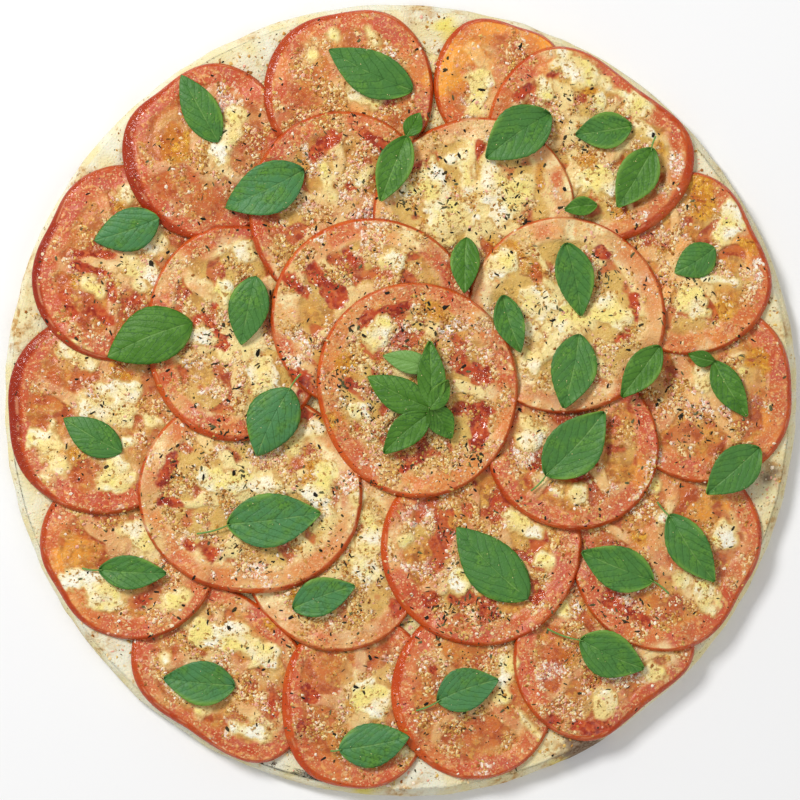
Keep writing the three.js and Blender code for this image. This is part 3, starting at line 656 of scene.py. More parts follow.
# %% [markdown]
# ## Reading a round solid by angle
# The outline of a solid is found by halving: is the line at this radius still over it? The
# heights are read on a coarse web of rings and spokes, softened, and looked up between its
# points, which takes the facets of the solid away and keeps its form.

# %% Outlines and webs
SPOKES = 96
HALVINGS = 12
ANGLES = np.arange(SPOKES) * 2 * math.pi / SPOKES


def soften(web, passes):
    """Averages each point of a web with its neighbours round and across it."""
    for _ in range(passes):
        web = 0.5 * web + 0.25 * (np.roll(web, 1, axis=-1) + np.roll(web, -1, axis=-1))
        if web.ndim == 2:
            inner = np.vstack([web[:1], web[:-1]])
            outer = np.vstack([web[1:], web[-1:]])
            web = 0.5 * web + 0.25 * (inner + outer)
    return web


def outline_of(tree, x, y, far):
    """Distance in mm from a middle to the edge of a solid in plan, for each spoke."""
    edge = []
    for angle in ANGLES:
        near, beyond = 0.0, far
        for _ in range(HALVINGS):
            middle = (near + beyond) / 2
            if top_of(tree, x + middle * math.cos(angle), y + middle * math.sin(angle)) is None:
                beyond = middle
            else:
                near = middle
        edge.append(near)
    edge = np.array(edge)
    widest = np.maximum(edge, np.maximum(np.roll(edge, 3), np.roll(edge, -3)))
    return soften(0.5 * (edge + widest), 3)


def looked_up(web, rings, angle):
    """Value of a web at a ring position and an angle, between its points."""
    ring = np.clip(rings, 0, len(web) - 1.001)
    spoke = (angle / (2 * math.pi) * SPOKES) % SPOKES
    r0, s0 = ring.astype(int), spoke.astype(int) % SPOKES
    r, s = ring - r0, spoke - np.floor(spoke)
    s1 = (s0 + 1) % SPOKES
    near = web[r0, s0] * (1 - s) + web[r0, s1] * s
    far = web[r0 + 1, s0] * (1 - s) + web[r0 + 1, s1] * s
    return near * (1 - r) + far * r


def round_value(edge, angle):
    """Value at any angle of what is known for each spoke."""
    return looked_up(np.array([edge, edge]), np.zeros(len(angle)), angle)


def felt_web(tree, reaches):
    """Softened heights of a solid's upper side, at a reach in mm for each ring and spoke."""
    return soften(np.array([
        [top_of(tree, r * math.cos(a), r * math.sin(a)) for r, a in zip(row, ANGLES)]
        for row in reaches
    ]), 2)


print(SPOKES, "spokes round each solid")

# %% [markdown]
# ## The dough
# The real base is a hand-stretched disc, thin in the middle, with a rim that the oven puffed
# a little and browned in blisters. It could be sculpted, but a spun plate laid over the solid
# and pushed out by noise gives the same form, and its rings can be packed closely at the rim,
# which is the only part that shows.

# %% Dough base and rim
DOUGH_TOP = [0, 30, 60, 85, 100, 110, 116] + list(np.arange(120, 146.5, 1.1))
DOUGH_SIDE = [8.2, 7.4, 6.6, 5.8, 5.0, 4.2, 3.4, 2.6, 1.8, 1.0, 0.4]
FOOT = 142.5                    # radius of the flat underside
SIDE, SIDE_STEP = 147, 0.01     # the radius of a side row in the profile tells the rows apart
TOP_REACH, TOP_RINGS = 145.5, 60


def side_radius(tree, height):
    """Radius in mm of the dough's side at a height, felt from outside on each spoke."""
    radii = []
    for angle in ANGLES:
        out = Vector((math.cos(angle), math.sin(angle), 0))
        hit = tree.ray_cast(out * WIDE + Vector((0, 0, height * MM)), -out)[0]
        radii.append(math.hypot(hit.x, hit.y) / MM)
    return np.array(radii)


def make_dough():
    tree = tree_of(["crust"])
    profile = [(r, 10) for r in DOUGH_TOP]
    profile += [(SIDE + SIDE_STEP * k, 9 - 0.5 * k) for k in range(len(DOUGH_SIDE))]
    profile += [(r, 0) for r in (FOOT, 100, 50, 0)]
    piece = spun("dough", profile, 300)
    start = points_of(piece)
    radius, angle = polar(start)
    web = felt_web(tree, np.outer(np.linspace(0, TOP_REACH, TOP_RINGS), np.ones(SPOKES)))
    points = start.copy()
    upper = start[:, 2] > 9.9
    points[upper, 2] = looked_up(web, radius[upper] / TOP_REACH * (TOP_RINGS - 1), angle[upper])
    for k, height in enumerate(DOUGH_SIDE):
        row = (~upper) & (np.abs(radius - SIDE - SIDE_STEP * k) < 0.4 * SIDE_STEP)
        far = round_value(soften(side_radius(tree, height), 2), angle[row])
        points[row] = np.column_stack([far * np.cos(angle[row]), far * np.sin(angle[row]),
                                       np.full(row.sum(), height)])
    radius = polar(points)[0]
    burnt = in_spots(points, BURNT, 1.5, 0.7, 3)
    puffs = lumps(points, 13, 4) + 0.5 * lumps(points, 5, 5) + 0.25 * lumps(points, 2.2, 6)
    outward = ramp(radius, 112, 132) * (points[:, 2] > 0.2)
    swell = outward * (0.75 * puffs + 0.9 * burnt)
    lean = ramp(radius, 143, 149)
    points[:, 2] += swell * (1 - 0.75 * lean)
    pull = 1 + (np.minimum(swell, 0.6) * lean * 0.8 - 0.15 * lean) / np.maximum(radius, 1)
    points[:, :2] *= pull[:, None]
    rim = ramp(radius, 136, 146)
    marks = {
        "burnt": burnt,
        "toast": np.maximum(
            0.8 * in_spots(points, TOASTED_RIM, 3, 0.6, 8),
            0.5 * ramp(lumps(points, 17, 9) + 0.5 * lumps(points, 4, 10), 0.4, 0.7) * rim,
        ),
        "flour": ramp(lumps(points, 14, 11), -0.1, 0.35) * (points[:, 0] < 40) * 0.9,
        "yellow": in_spots(points, YELLOW_RIM, 1.5, 0.8, 12),
    }
    write_points(piece, points, marks)
    settle_in(piece, DOUGH, "crust", "crust")
    return piece


dough = make_dough()
print("dough", len(dough.data.polygons), "faces")

# %% [markdown]
# ## The cheese bed
# Under the slices lies one thin sheet of melted mozzarella, seen only in the gaps. It is spun
# like the dough and laid over its solid, then raised into soft lumps where shreds piled up.

# %% Cheese bed
BED_REACH, BED_RINGS = 0.97, 40


def make_bed():
    tree = tree_of(["cheese"])
    edge = outline_of(tree, 0, 0, 145)
    fractions = np.concatenate([np.linspace(0, 0.6, 14), np.linspace(0.62, 0.99, 60)])
    profile = [(f, 1) for f in fractions] + [(1.0, 0.2), (0.995, -0.6), (0.8, -1), (0, -1)]
    piece = spun("cheese_bed", profile, 260)
    start = points_of(piece)
    part, angle = polar(start)
    web = felt_web(tree, np.outer(np.linspace(0, BED_REACH, BED_RINGS), edge))
    reach = part * round_value(edge, angle)
    height = looked_up(web, part / BED_REACH * (BED_RINGS - 1), angle)
    points = np.column_stack([reach * np.cos(angle), reach * np.sin(angle), height])
    upper = start[:, 2] > 0.9
    soft = 0.5 * lumps(points, 7, 20) + 0.35 * lumps(points, 2.8, 21)
    points[:, 2] += np.where(upper, soft, -1.2 * (1 - start[:, 2]) / 2)
    write_points(piece, points, {})
    settle_in(piece, CHEESE, "cheese", "cheese")
    return piece


bed = make_bed()
print("cheese bed", len(bed.data.polygons), "faces")

# %% [markdown]
# ## One slice for all
# Every slice is cut alike, so one disc of unit size is modelled, and each slice is a copy with
# its own mesh. In the master, the distance from the axis says how far out a point is, and its
# height says whether it is on the top, 1, or the underside, -1. The edge is round, because the
# skin wraps the flesh.

# %% Master slice
def master_slice():
    inner = np.linspace(0, 0.78, 34)
    outer = np.linspace(0.80, 0.985, 22)
    top = [(f, 1) for f in np.concatenate([inner, outer])]
    side = [(0.994, 0.72), (0.999, 0.35), (1.0, 0.0), (0.997, -0.4), (0.988, -0.75)]
    under = [(0.96, -1), (0.85, -1), (0.6, -1), (0.3, -1), (0, -1)]
    return spun("master_slice", top + side + under, 220)


MASTER = master_slice()
print("master slice", len(MASTER.data.vertices), "points")

# %% [markdown]
# ## What makes each slice its own
# Slices differ in how many seed chambers they have, how wide their skin shows and on which
# side, how deep the chambers sank, and how pink and how dusty with cheese they are. The skin
# shows widest where the knife cut across the shoulder of the fruit: its direction is given in
# degrees from the right, and its width in mm. Ripe flesh is redder, gold is more orange, and
# creamy flesh is pale with melted cheese. The wall under the skin stays smooth, and grated
# cheese gathers further in.

# %% Looks of the slices
# number: chambers, turn, skin side, skin width, extra width there, ripe, gold, creamy, dusty,
# depth of the chambers, dark skin
LOOKS = {
    1: (5, 20, 200, 1.6, 1.8, 0.50, 0.3, 0.3, 0.6, 0.6, 0.4),
    2: (4, 60, 190, 1.4, 1.8, 0.45, 0.6, 0.1, 0.4, 0.6, 0.5),
    3: (5, 10, 175, 1.6, 4.6, 0.75, 0.3, 0.1, 0.4, 0.6, 1.0),
    4: (5, 40, 185, 1.8, 2.6, 0.75, 0.2, 0.1, 0.4, 0.6, 1.0),
    5: (3, 80, 195, 1.6, 4.4, 0.85, 0.1, 0.0, 0.4, 0.4, 0.9),
    6: (4, 30, 160, 1.5, 2.4, 0.50, 0.6, 0.1, 0.6, 0.4, 0.6),
    7: (3, 10, 150, 1.3, 1.2, 0.25, 1.0, 0.0, 0.3, 0.3, 0.3),
    8: (4, 0, 190, 1.5, 2.8, 0.55, 0.5, 0.1, 0.5, 0.5, 0.1),
    9: (4, 50, 190, 1.5, 3.0, 0.55, 0.5, 0.1, 0.6, 0.5, 0.1),
    10: (5, 70, 290, 1.4, 1.6, 0.60, 0.2, 0.1, 0.6, 0.6, 0.3),
    11: (5, 15, 330, 1.3, 1.0, 0.60, 0.3, 0.0, 0.6, 0.6, 0.2),
    12: (4, 35, 350, 1.3, 1.0, 0.50, 0.6, 0.1, 0.5, 0.6, 0.2),
    13: (5, 25, 0, 1.2, 1.2, 0.30, 0.6, 0.3, 0.6, 0.8, 0.2),
    14: (6, 0, 330, 1.5, 2.8, 0.30, 0.4, 0.6, 0.5, 0.9, 0.3),
    15: (5, 0, 250, 1.0, 0.6, 0.10, 0.2, 1.0, 0.9, 0.6, 0.0),
    16: (6, 10, 290, 1.4, 0.9, 0.15, 0.3, 1.0, 0.6, 0.8, 0.1),
    17: (5, 55, 240, 1.4, 1.6, 0.50, 0.4, 0.6, 0.6, 0.9, 0.2),
    18: (5, 15, 200, 1.2, 1.2, 0.50, 0.1, 0.5, 0.8, 0.9, 0.3),
    19: (6, 30, 120, 1.0, 0.5, 0.10, 0.3, 1.2, 0.4, 0.8, 0.2),
    20: (5, 60, 150, 1.2, 0.6, 0.35, 0.2, 0.7, 0.7, 0.9, 0.0),
    21: (3, 100, 190, 1.5, 1.6, 0.70, 0.2, 0.2, 0.7, 1.0, 0.1),
    22: (4, 45, 250, 1.2, 1.0, 0.60, 0.4, 0.2, 0.7, 0.8, 0.2),
    23: (6, 0, 330, 1.0, 0.8, 0.20, 0.3, 1.2, 0.4, 0.8, 0.0),
    24: (5, 5, 220, 1.2, 1.4, 0.25, 0.5, 0.8, 0.9, 1.0, 0.0),
}
print("looks for", len(LOOKS), "slices")

# %% [markdown]
# ## Laying the slices
# Each copy takes the outline and the underside of its solid, so it drapes as the solid does.
# Its edge sinks a little further, on to what lies under it, as soft baked slices do. Then the
# top gets its own relief: chambers sunk between ribs, and cheese puddles that stand proud.

# %% Draping a slice
SLICE_THICKNESS = 2.6
RINGS = 16


def drape(tree, below, x, y, edge):
    """Web of the heights in mm of a slice's underside, with its edge let down."""
    web = np.zeros((RINGS, SPOKES))
    gap = np.zeros((RINGS, SPOKES))
    for n in range(RINGS):
        for k, angle in enumerate(ANGLES):
            reach = edge[k] * min(n / (RINGS - 1), 0.94)
            px, py = x + reach * math.cos(angle), y + reach * math.sin(angle)
            height = underside_of(tree, px, py)
            web[n, k] = web[n - 1, k] if height is None else height
            hit = below.ray_cast(Vector((px, py, web[n, k] + 1)) * MM, DOWN)[0]
            gap[n, k] = web[n, k] - hit.z / MM if hit else 0
    web = soften(web, 2)
    let_down = np.clip(soften(gap, 2) - 0.25, 0, 2.2)
    weight = ramp(np.arange(RINGS) / (RINGS - 1), 0.5, 0.95)
    return web - let_down * weight[:, None]


def chambers(count, turn, part, angle, reach, places, seed):
    """Masks of the seed chambers, wedges between ribs, and of the ribs with the core."""
    warp = 0.10 * lumps(places, 9, seed)
    phase = (angle - math.radians(turn)) * count / 2 + 1.2 * warp * count
    rib_side = reach * np.abs(np.sin(phase)) * 2 / count
    width = 1.9 + 1.2 * lumps(places, 12, seed + 1)
    inside = ramp(rib_side, width, width + 0.9)
    spread = part + warp
    wedge = inside * ramp(spread, 0.26, 0.32) * (1 - ramp(spread, 0.72, 0.78))
    return wedge, (1 - wedge) * (1 - ramp(spread, 0.70, 0.78))


print(RINGS, "rings of readings for each slice")

# %% Masks of a slice
def melted(places, sunk, ripe, depth):
    """Where flesh stayed smooth, where cheese melted on it, and where jelly shows."""
    smooth = in_spots(places, SMOOTH, 1.5, 0.5, 45)
    cream = in_spots(places, CREAM, 2.0, 0.7, 40) * (1 - 0.9 * smooth)
    seep = sunk * ramp(lumps(places, 7, 44) + 0.35 * ripe, 0.24, 0.32) * depth
    jelly = np.maximum(in_spots(places, JELLY, 0.35, 0.7, 43), 0.8 * seep)
    return smooth, cream, jelly * (1 - ramp(cream, 0.2, 0.5))


def crumbed(places, crumbs, fall, wall, smooth):
    """Where grated cheese heaped up, golden or chalky, away from skin, wall and bare places."""
    bare = np.maximum(in_spots(places, BARE, 3, 0.6, 46), smooth)
    heaps = lumps(places, 10, 57) + 0.8 * lumps(places, 4, 58) + 0.4 * lumps(places, 1.8, 59)
    heaps += 0.5 * (crumbs - 0.65)
    inside = 1 - ramp(fall, 0, 0.2)
    dusty = ramp(heaps, -0.12, 0.2) * (1 - 0.9 * bare) * (1 - 0.8 * wall) * inside
    chalky = np.maximum(in_spots(places, CHALKY, 2, 0.8, 48), ramp(lumps(places, 15, 82), 0.3, 0.5))
    return dusty, chalky * ramp(heaps, 0.0, 0.25) * inside * (1 - bare)


def skin_marks(places, fall, facing, creamy, dark):
    """The skin, worn pale in parts, its dark side, and a painted highlight line along it."""
    worn = ramp(lumps(places, 9, 86) + 0.5 * lumps(places, 3, 87), 0.0, 0.4)
    skin = ramp(fall + 0.12 * lumps(places, 2.5, 54), 0.05, 0.35) * (1 - 0.5 * min(creamy, 1) * worn)
    outer = ramp(fall + 0.1 * lumps(places, 6, 83), 0.05, 0.45)
    line = ramp(1 - np.abs(fall - 0.45) * 6, 0, 1)
    return {
        "skin": skin,
        "dark_skin": outer * dark * (0.35 + 0.65 * facing),
        # painted highlight: a thin pale line along the skin, where light would glint on its curve
        "painted_highlight": 0.5 * skin * ramp(lumps(places, 4, 84), 0.1, 0.3) * line,
    }


def flesh_marks(places, ripe, gold, creamy, wall, smooth):
    """How ripe, golden or creamy the flesh is from place to place."""
    golden, redder = in_spots(places, GOLDEN, 4, 0.4, 88), in_spots(places, REDDER, 4, 0.4, 89)
    milky = in_spots(places, [(px, py, 1.9 * r + 1, *end) for px, py, r, *end in CREAM], 4, 0.5, 41)
    return {
        "ripe": ripe + 0.6 * lumps(places, 18, 55) + 0.5 * ripe * wall + 0.2 * smooth
                + 0.6 * redder - 0.8 * golden,
        "gold": gold + 0.7 * lumps(places, 14, 56) - 0.3 * wall + golden - redder,
        "creamy": creamy - 0.15 + 0.8 * lumps(places, 12, 62) + 0.45 * milky - 0.8 * wall
                  - 0.6 * smooth,
    }


print(len(TOMATO_MARKS), "masks for each slice")

# %% Laying each slice
CRUMBY = {}


def lay_slice(number, name):
    count, turn, skin_side, narrow, extra, ripe, gold, creamy, crumbs, depth, dark = LOOKS[number]
    tree = tree_of([name])
    low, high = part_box(name)
    x, y = (low.x + high.x) / 2 / MM, (low.y + high.y) / 2 / MM
    edge = outline_of(tree, x, y, 60)
    piece = MASTER.copy()
    piece.data = MASTER.data.copy()
    piece.name = piece.data.name = f"slice_{number:02d}"
    bpy.context.collection.objects.link(piece)
    start = points_of(piece)
    part, angle = polar(start)
    level = (start[:, 2] + 1) / 2
    rim = round_value(edge, angle)
    reach = part * rim
    places = np.column_stack([x + reach * np.cos(angle), y + reach * np.sin(angle), 0 * part])
    below = tree_of(["crust", "cheese"] + SLICES[:number - 1])
    under = looked_up(drape(tree, below, x, y, edge), part * (RINGS - 1), angle)
    facing = np.maximum(0, np.cos(angle - math.radians(skin_side))) ** 1.5
    width = narrow + extra * facing + 0.25 * lumps(places, 8, number)
    fall = np.clip((reach - rim + width) / width, 0, 1)
    thick = SLICE_THICKNESS * (1 - 0.62 * fall ** 2)
    sunk, ribs = chambers(count, turn, part, angle, reach, places, 30 + number)
    smooth, cream, jelly = melted(places, sunk, ripe, depth)
    top = ramp(start[:, 2], 0.9, 1.0) * (1 - ramp(fall, 0, 0.3))
    wrinkle = 0.16 * lumps(places, 3.2, 50) + 0.10 * lumps(places, 1.5, 51)
    raised = cream * (0.4 + 0.35 * lumps(places, 4.5, 52) + 0.06 * lumps(places, 1.6, 53))
    sink = 0.9 * depth * sunk * (1 - 0.6 * cream)
    points = places.copy()
    points[:, 2] = under + level * thick + top * (wrinkle + raised - sink - 0.25 * jelly)
    wall = 1 - ramp(rim - reach, 6 + 2 * lumps(places, 14, 80), 10)
    wall *= ramp(lumps(places, 16, 81), -0.5, 0)
    dusty, chalky = crumbed(places, crumbs, fall, wall, smooth)
    marks = {
        **skin_marks(places, fall, facing, creamy, dark),
        "hollow": sunk * depth * 0.85,
        "cream": cream,
        "jelly": jelly,
        "tan": in_spots(places, AMBER, 1.2, 0.7, 47) * 0.9,
        **flesh_marks(places, ripe, gold, creamy, wall, smooth),
        "septa": ribs * (0.25 + 0.6 * creamy) * (0.9 + lumps(places, 8, 63)),
        "dusty": dusty,
        "chalky": chalky,
    }
    CRUMBY[piece.name] = np.clip(dusty + chalky, 0, 1) * (1 - 0.9 * cream) * (1 - 0.8 * jelly)
    write_points(piece, points, marks)
    settle_in(piece, TOMATO, "tomato", name)
    return piece


slices = [lay_slice(number, name) for number, name in enumerate(SLICES, 1)]
bpy.data.objects.remove(MASTER)
print(len(slices), "slices,", sum(len(s.data.polygons) for s in slices), "faces")

# %% [markdown]
# ## Basil leaves
# A leaf blade is a sheet: widest below its middle, pointed at the tip, folded a little along
# its rib, and wavy at its edge. A grid is the right start, because its rows become the run of
# the blade and its columns the width. The heights come from the leaf's solid, as a smooth
# curved surface fitted through the feeler's readings, and Solidify gives the sheet its body.

# %% Places of the leaves
# number of the solid, foot x and y, heading in degrees, length and width, and then the end of a
# stalk where one shows
LEAVES = [
    (1, -68, 96.5, 119, 29, 13.5), (2, -90, 68, 199, 26, 16), (3, -77.5, 29, 202, 34.5, 21),
    (4, -36, 86, 205, 32.5, 19), (5, 2.5, 98.5, 248, 26, 13), (5, 2.5, 99, 60, 10, 7),
    (6, 4.5, 116, 154, 34.5, 17), (7, 56, 107, 215, 29, 19), (8, 86.5, 102.5, 189, 21, 13.5),
    (9, 94.5, 94, 239, 25.5, 15, 95.6, 98.6), (10, 73.5, 73, 189, 12, 7),
    (11, 118, 57, 212, 18, 13), (12, 25, 61, 268, 21, 11), (13, -54, 46.5, 258, 26.5, 15),
    (14, 62, 58.5, 282, 27.5, 14), (15, 38.5, 39, 288, 22, 11), (16, 67, 24.5, 258, 28, 17),
    (17, 97, 20, 233, 23.5, 12), (18, 117.5, 14.5, 301, 24, 11), (18, 117.5, 14.5, 165, 10, 6),
    (19, 54.5, -28, 47, 32, 20, 49, -34), (20, 134.5, -18, 221, 26, 16),
    (21, -104, -19.5, 150, 25.5, 13.5), (22, -41, 4.5, 244, 28.5, 19.5, -37, 9.8),
    (23, 48, -74.5, 135, 38, 20), (24, -64.5, -46.5, 7, 35, 20, -76, -50),
    (25, -112.5, -63.5, 357, 25, 12.5, -119, -63), (26, -40, -78, 20, 24.5, 14),
    (27, 101, -43, 304, 30, 15, 96.4, -38.2), (28, 94.5, -67.5, 158, 28.5, 16.5, 100.5, -72.4),
    (29, -62, -107, 174, 26.5, 16.5), (30, 67.5, -89.5, 335, 26, 17, 55, -85.5),
    (31, 14, -112.5, 19, 24, 16, 6, -116.2), (32, -23, -131, 11, 27, 16.5, -26, -131.4),
]
SPRIG = [
    (12, 12, 166, 19, 8.5), (11, -3, 153, 26, 13), (11, -5, 221, 22.5, 11.5),
    (11.5, -2.5, 303, 14, 10), (12, -3, 92, 25, 10.5), (11, -3.5, 56, 13, 7.5),
]
PALE_BLADE = 34
BLUISH = [2, 4, 22, 24, 26, 29, 31, 32]
YELLOWISH = [3, 5, 9, 10, 12, 17, 18, "sprig"]
print(len(LEAVES) + len(SPRIG), "leaf blades")

# %% Leaf blades
LEAF_BODY = 0.45    # thickness of a blade
LIE = 0.3           # how much lower a blade lies than the top of its thicker solid
ROWS, COLUMNS = 46, 18
STALK_STEPS = 8


def curve_terms(s, t):
    """Terms of a smooth surface over the run s and the side t of a blade."""
    return np.column_stack([s ** 0, s, s ** 2, s ** 3, t, t * t, s * t, s * t * t])


def fitted_height(tree, foot, along, across, length, width):
    """Smooth surface through the readings of a leaf's solid: a function of run and side."""
    runs, sides, heights = [], [], []
    for run in np.linspace(0.06, 0.94, 12):
        half = width / 2 * math.sin(math.pi * run ** 0.84) ** 0.72
        for side in (-0.8, -0.4, 0, 0.4, 0.8):
            px = foot[0] + along[0] * run * length + across[0] * side * half
            py = foot[1] + along[1] * run * length + across[1] * side * half
            height = top_of(tree, px, py)
            if height is not None:
                runs.append(run)
                sides.append(side)
                heights.append(height)
    s, t = np.array(runs), np.array(sides)
    fit = np.linalg.lstsq(curve_terms(s, t), np.array(heights), rcond=None)[0]
    return lambda s, t: curve_terms(s, t) @ fit


def make_leaf(number, solid, x, y, heading, length, width, *stalk, raised=0.0):
    node = f"basil_{solid:0>2}"
    tree = tree_of([node])
    turn = math.radians(heading)
    along = np.array([math.cos(turn), math.sin(turn)])
    across = np.array([-along[1], along[0]])
    height = fitted_height(tree, (x, y), along, across, length, width)
    bpy.ops.object.select_all(action="DESELECT")
    bpy.ops.mesh.primitive_grid_add(x_subdivisions=ROWS, y_subdivisions=COLUMNS, size=1)
    piece = bpy.context.object
    piece.name = piece.data.name = f"leaf_{number:02d}"
    start = points_of(piece)
    run, side = np.clip(start[:, 0] + 0.5, 0, 1), np.clip(start[:, 1] * 2, -1, 1)
    half = width / 2 * np.sin(math.pi * run ** 0.84) ** 0.78 * (1 - 0.12 * run ** 5)
    teeth = 1 + 0.022 * np.abs(np.sin(run * 30 + number)) * (np.abs(side) > 0.99)
    reach = side * half * teeth
    bend = 0.035 * length * math.sin(number * 2.4) * np.sin(math.pi * run)
    px = x + along[0] * run * length + across[0] * (reach + bend)
    py = y + along[1] * run * length + across[1] * (reach + bend)
    blade = np.column_stack([run * length, reach, np.full(len(run), length / 6)])
    crease = -0.35 * np.exp(-((reach / 0.9) ** 2)) * (1 - 0.5 * run)
    step = (blade[:, 0] - (1.15 + 0.1 * np.abs(reach)) * np.abs(reach)) / blade[:, 2]
    quilt = 0.06 * np.cos(2 * math.pi * (step + 0.5)) * ramp(np.abs(reach), 0.3, 1.5)
    places = np.column_stack([px, py, 0 * px])
    ripple = 0.35 * lumps(places, 6, 60 + number) * np.abs(side) ** 2
    pz = height(run, side) - LIE + crease + quilt * (1 - side ** 4) + ripple + raised
    write_points(piece, np.column_stack([px, py, pz]), {
        "tone": 0.45 + 0.5 * (solid in BLUISH) - 0.35 * (solid in YELLOWISH),
        "pale": 0.8 * (number == PALE_BLADE),
        "edge": ramp(np.abs(side), 0.7, 1.0) * ramp(lumps(places, 9, 85), 0.05, 0.4),
    })
    layer = piece.data.attributes.new("blade", "FLOAT_VECTOR", "POINT")
    layer.data.foreach_set("vector", blade.astype(np.float32).ravel())
    alone(piece)
    body = piece.modifiers.new("body", "SOLIDIFY")
    body.thickness = LEAF_BODY * MM
    body.offset = -1
    bpy.ops.object.modifier_apply(modifier=body.name)
    bpy.ops.object.mode_set(mode="EDIT")
    bpy.ops.mesh.select_all(action="SELECT")
    bpy.ops.mesh.remove_doubles(threshold=0.02 * MM)
    bpy.ops.object.mode_set(mode="OBJECT")
    piece.data.shade_smooth()
    settle_in(piece, BASIL, "basil", node)
    if stalk:
        end = (*stalk, (top_of(tree, *stalk) or pz.min() + 0.5) - LIE)
        foot_z = float(height(np.array([0.04]), np.array([0.0]))[0]) - LIE
        foot = (x + along[0] * 1.2, y + along[1] * 1.2, foot_z)
        make_stalk(f"stalk_{number:02d}", end, foot, 0.75, 0.55, node)


def make_stalk(name, a, b, thick, thin, node):
    """Stalk from a to b: a small disc, extruded in steps and bowed a little."""
    run = Vector(b) - Vector(a)
    bpy.ops.object.select_all(action="DESELECT")
    bpy.ops.mesh.primitive_circle_add(vertices=8, radius=0.5, fill_type="NGON")
    piece = bpy.context.object
    piece.name = piece.data.name = name
    bpy.ops.object.mode_set(mode="EDIT")
    bpy.ops.mesh.select_all(action="SELECT")
    for _ in range(STALK_STEPS):
        bpy.ops.mesh.extrude_region_move(TRANSFORM_OT_translate={"value": (0, 0, 1 / STALK_STEPS)})
    bpy.ops.mesh.select_all(action="SELECT")
    bpy.ops.mesh.normals_make_consistent(inside=False)
    bpy.ops.object.mode_set(mode="OBJECT")
    start = points_of(piece)
    axis = run.normalized()
    side = axis.cross(UP).normalized()
    lift = side.cross(axis)
    s = start[:, 2]
    size = thick + (thin - thick) * s
    bow = 0.05 * run.length * np.sin(math.pi * s)
    points = np.array(a)[None] + np.outer(s, run) + np.outer(bow + start[:, 0] * size, side)
    points += np.outer(start[:, 1] * size, lift)
    write_points(piece, points, {"tone": 0.3, "pale": 0.7})
    settle_in(piece, BASIL, "basil", node)


for number, blade in enumerate(LEAVES):
    make_leaf(number, *blade)
print(len(LEAVES), "leaves laid")

# %% [markdown]
# ## The sprig in the middle
# Six blades grow from one short stem. They are made like the others, each a little above the
# one before it, and an upright stem holds them.

# %% Sprig
for number, blade in enumerate(SPRIG, len(LEAVES)):
    make_leaf(number, "sprig", *blade, raised=0.35 * (number - len(LEAVES)))
foot_z, head_z = (corner.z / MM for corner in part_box("basil_sprig"))
make_stalk("sprig_stem", (11, -4.5, foot_z + 0.6), (11.2, -3.4, head_z - 0.6), 2.4, 1.6, "basil_sprig")
print("sprig of", len(SPRIG), "blades")

# %% [markdown]
# ## Scattered herbs and grated cheese
# Thousands of crumbs are needed, so each kind is one joined mesh built from arrays: one small
# lump, copied, stretched, turned and dropped on whatever lies under it. A seeded draw decides
# where, and more fall where the real pizza has more.

# %% Dropping crumbs
DRAWS = np.random.default_rng(42)
REACH = 146       # crumbs fall as far out as this, in mm
TRIES = 7         # places tried for each crumb wanted
STEEPEST = 0.35   # a crumb slides off where the slope's upright part is less
STAYING = 0.3     # share of grated cheese that stays on the dough and the bed
STRAYING = 0.04   # share of it that stays where no heap is
SCENE = bpy.context.scene


def lump_shape(sides):
    """Points and faces of a small lump: a ring of points with one above and one below."""
    turns = [2 * math.pi * k / sides for k in range(sides)]
    ring = [(math.cos(turn), math.sin(turn), 0) for turn in turns]
    faces = [(k, (k + 1) % sides, sides) for k in range(sides)]
    faces += [((k + 1) % sides, k, sides + 1) for k in range(sides)]
    return np.array(ring + [(0, 0, 1), (0, 0, -1)]), np.array(faces)


def landing(x, y):
    """Where a crumb lands, the slope there and what it lands on."""
    depsgraph = bpy.context.evaluated_depsgraph_get()
    found, spot, slope, face, what, _ = SCENE.ray_cast(depsgraph, Vector((x * MM, y * MM, HIGH)), DOWN)
    if not found:
        return None
    crumby = STAYING
    if what.name in CRUMBY:
        crumby = CRUMBY[what.name][what.data.polygons[face].vertices[0]]
    return spot / MM, slope, what.name, crumby


def draw_places(count, chance):
    """Places in mm, more of them where the chance is higher."""
    tries = DRAWS.uniform(-REACH, REACH, (count * TRIES, 2))
    tries = tries[polar(tries)[0] < REACH]
    places = np.column_stack([tries, np.zeros(len(tries))])
    return places[DRAWS.random(len(places)) < chance(places)].tolist()


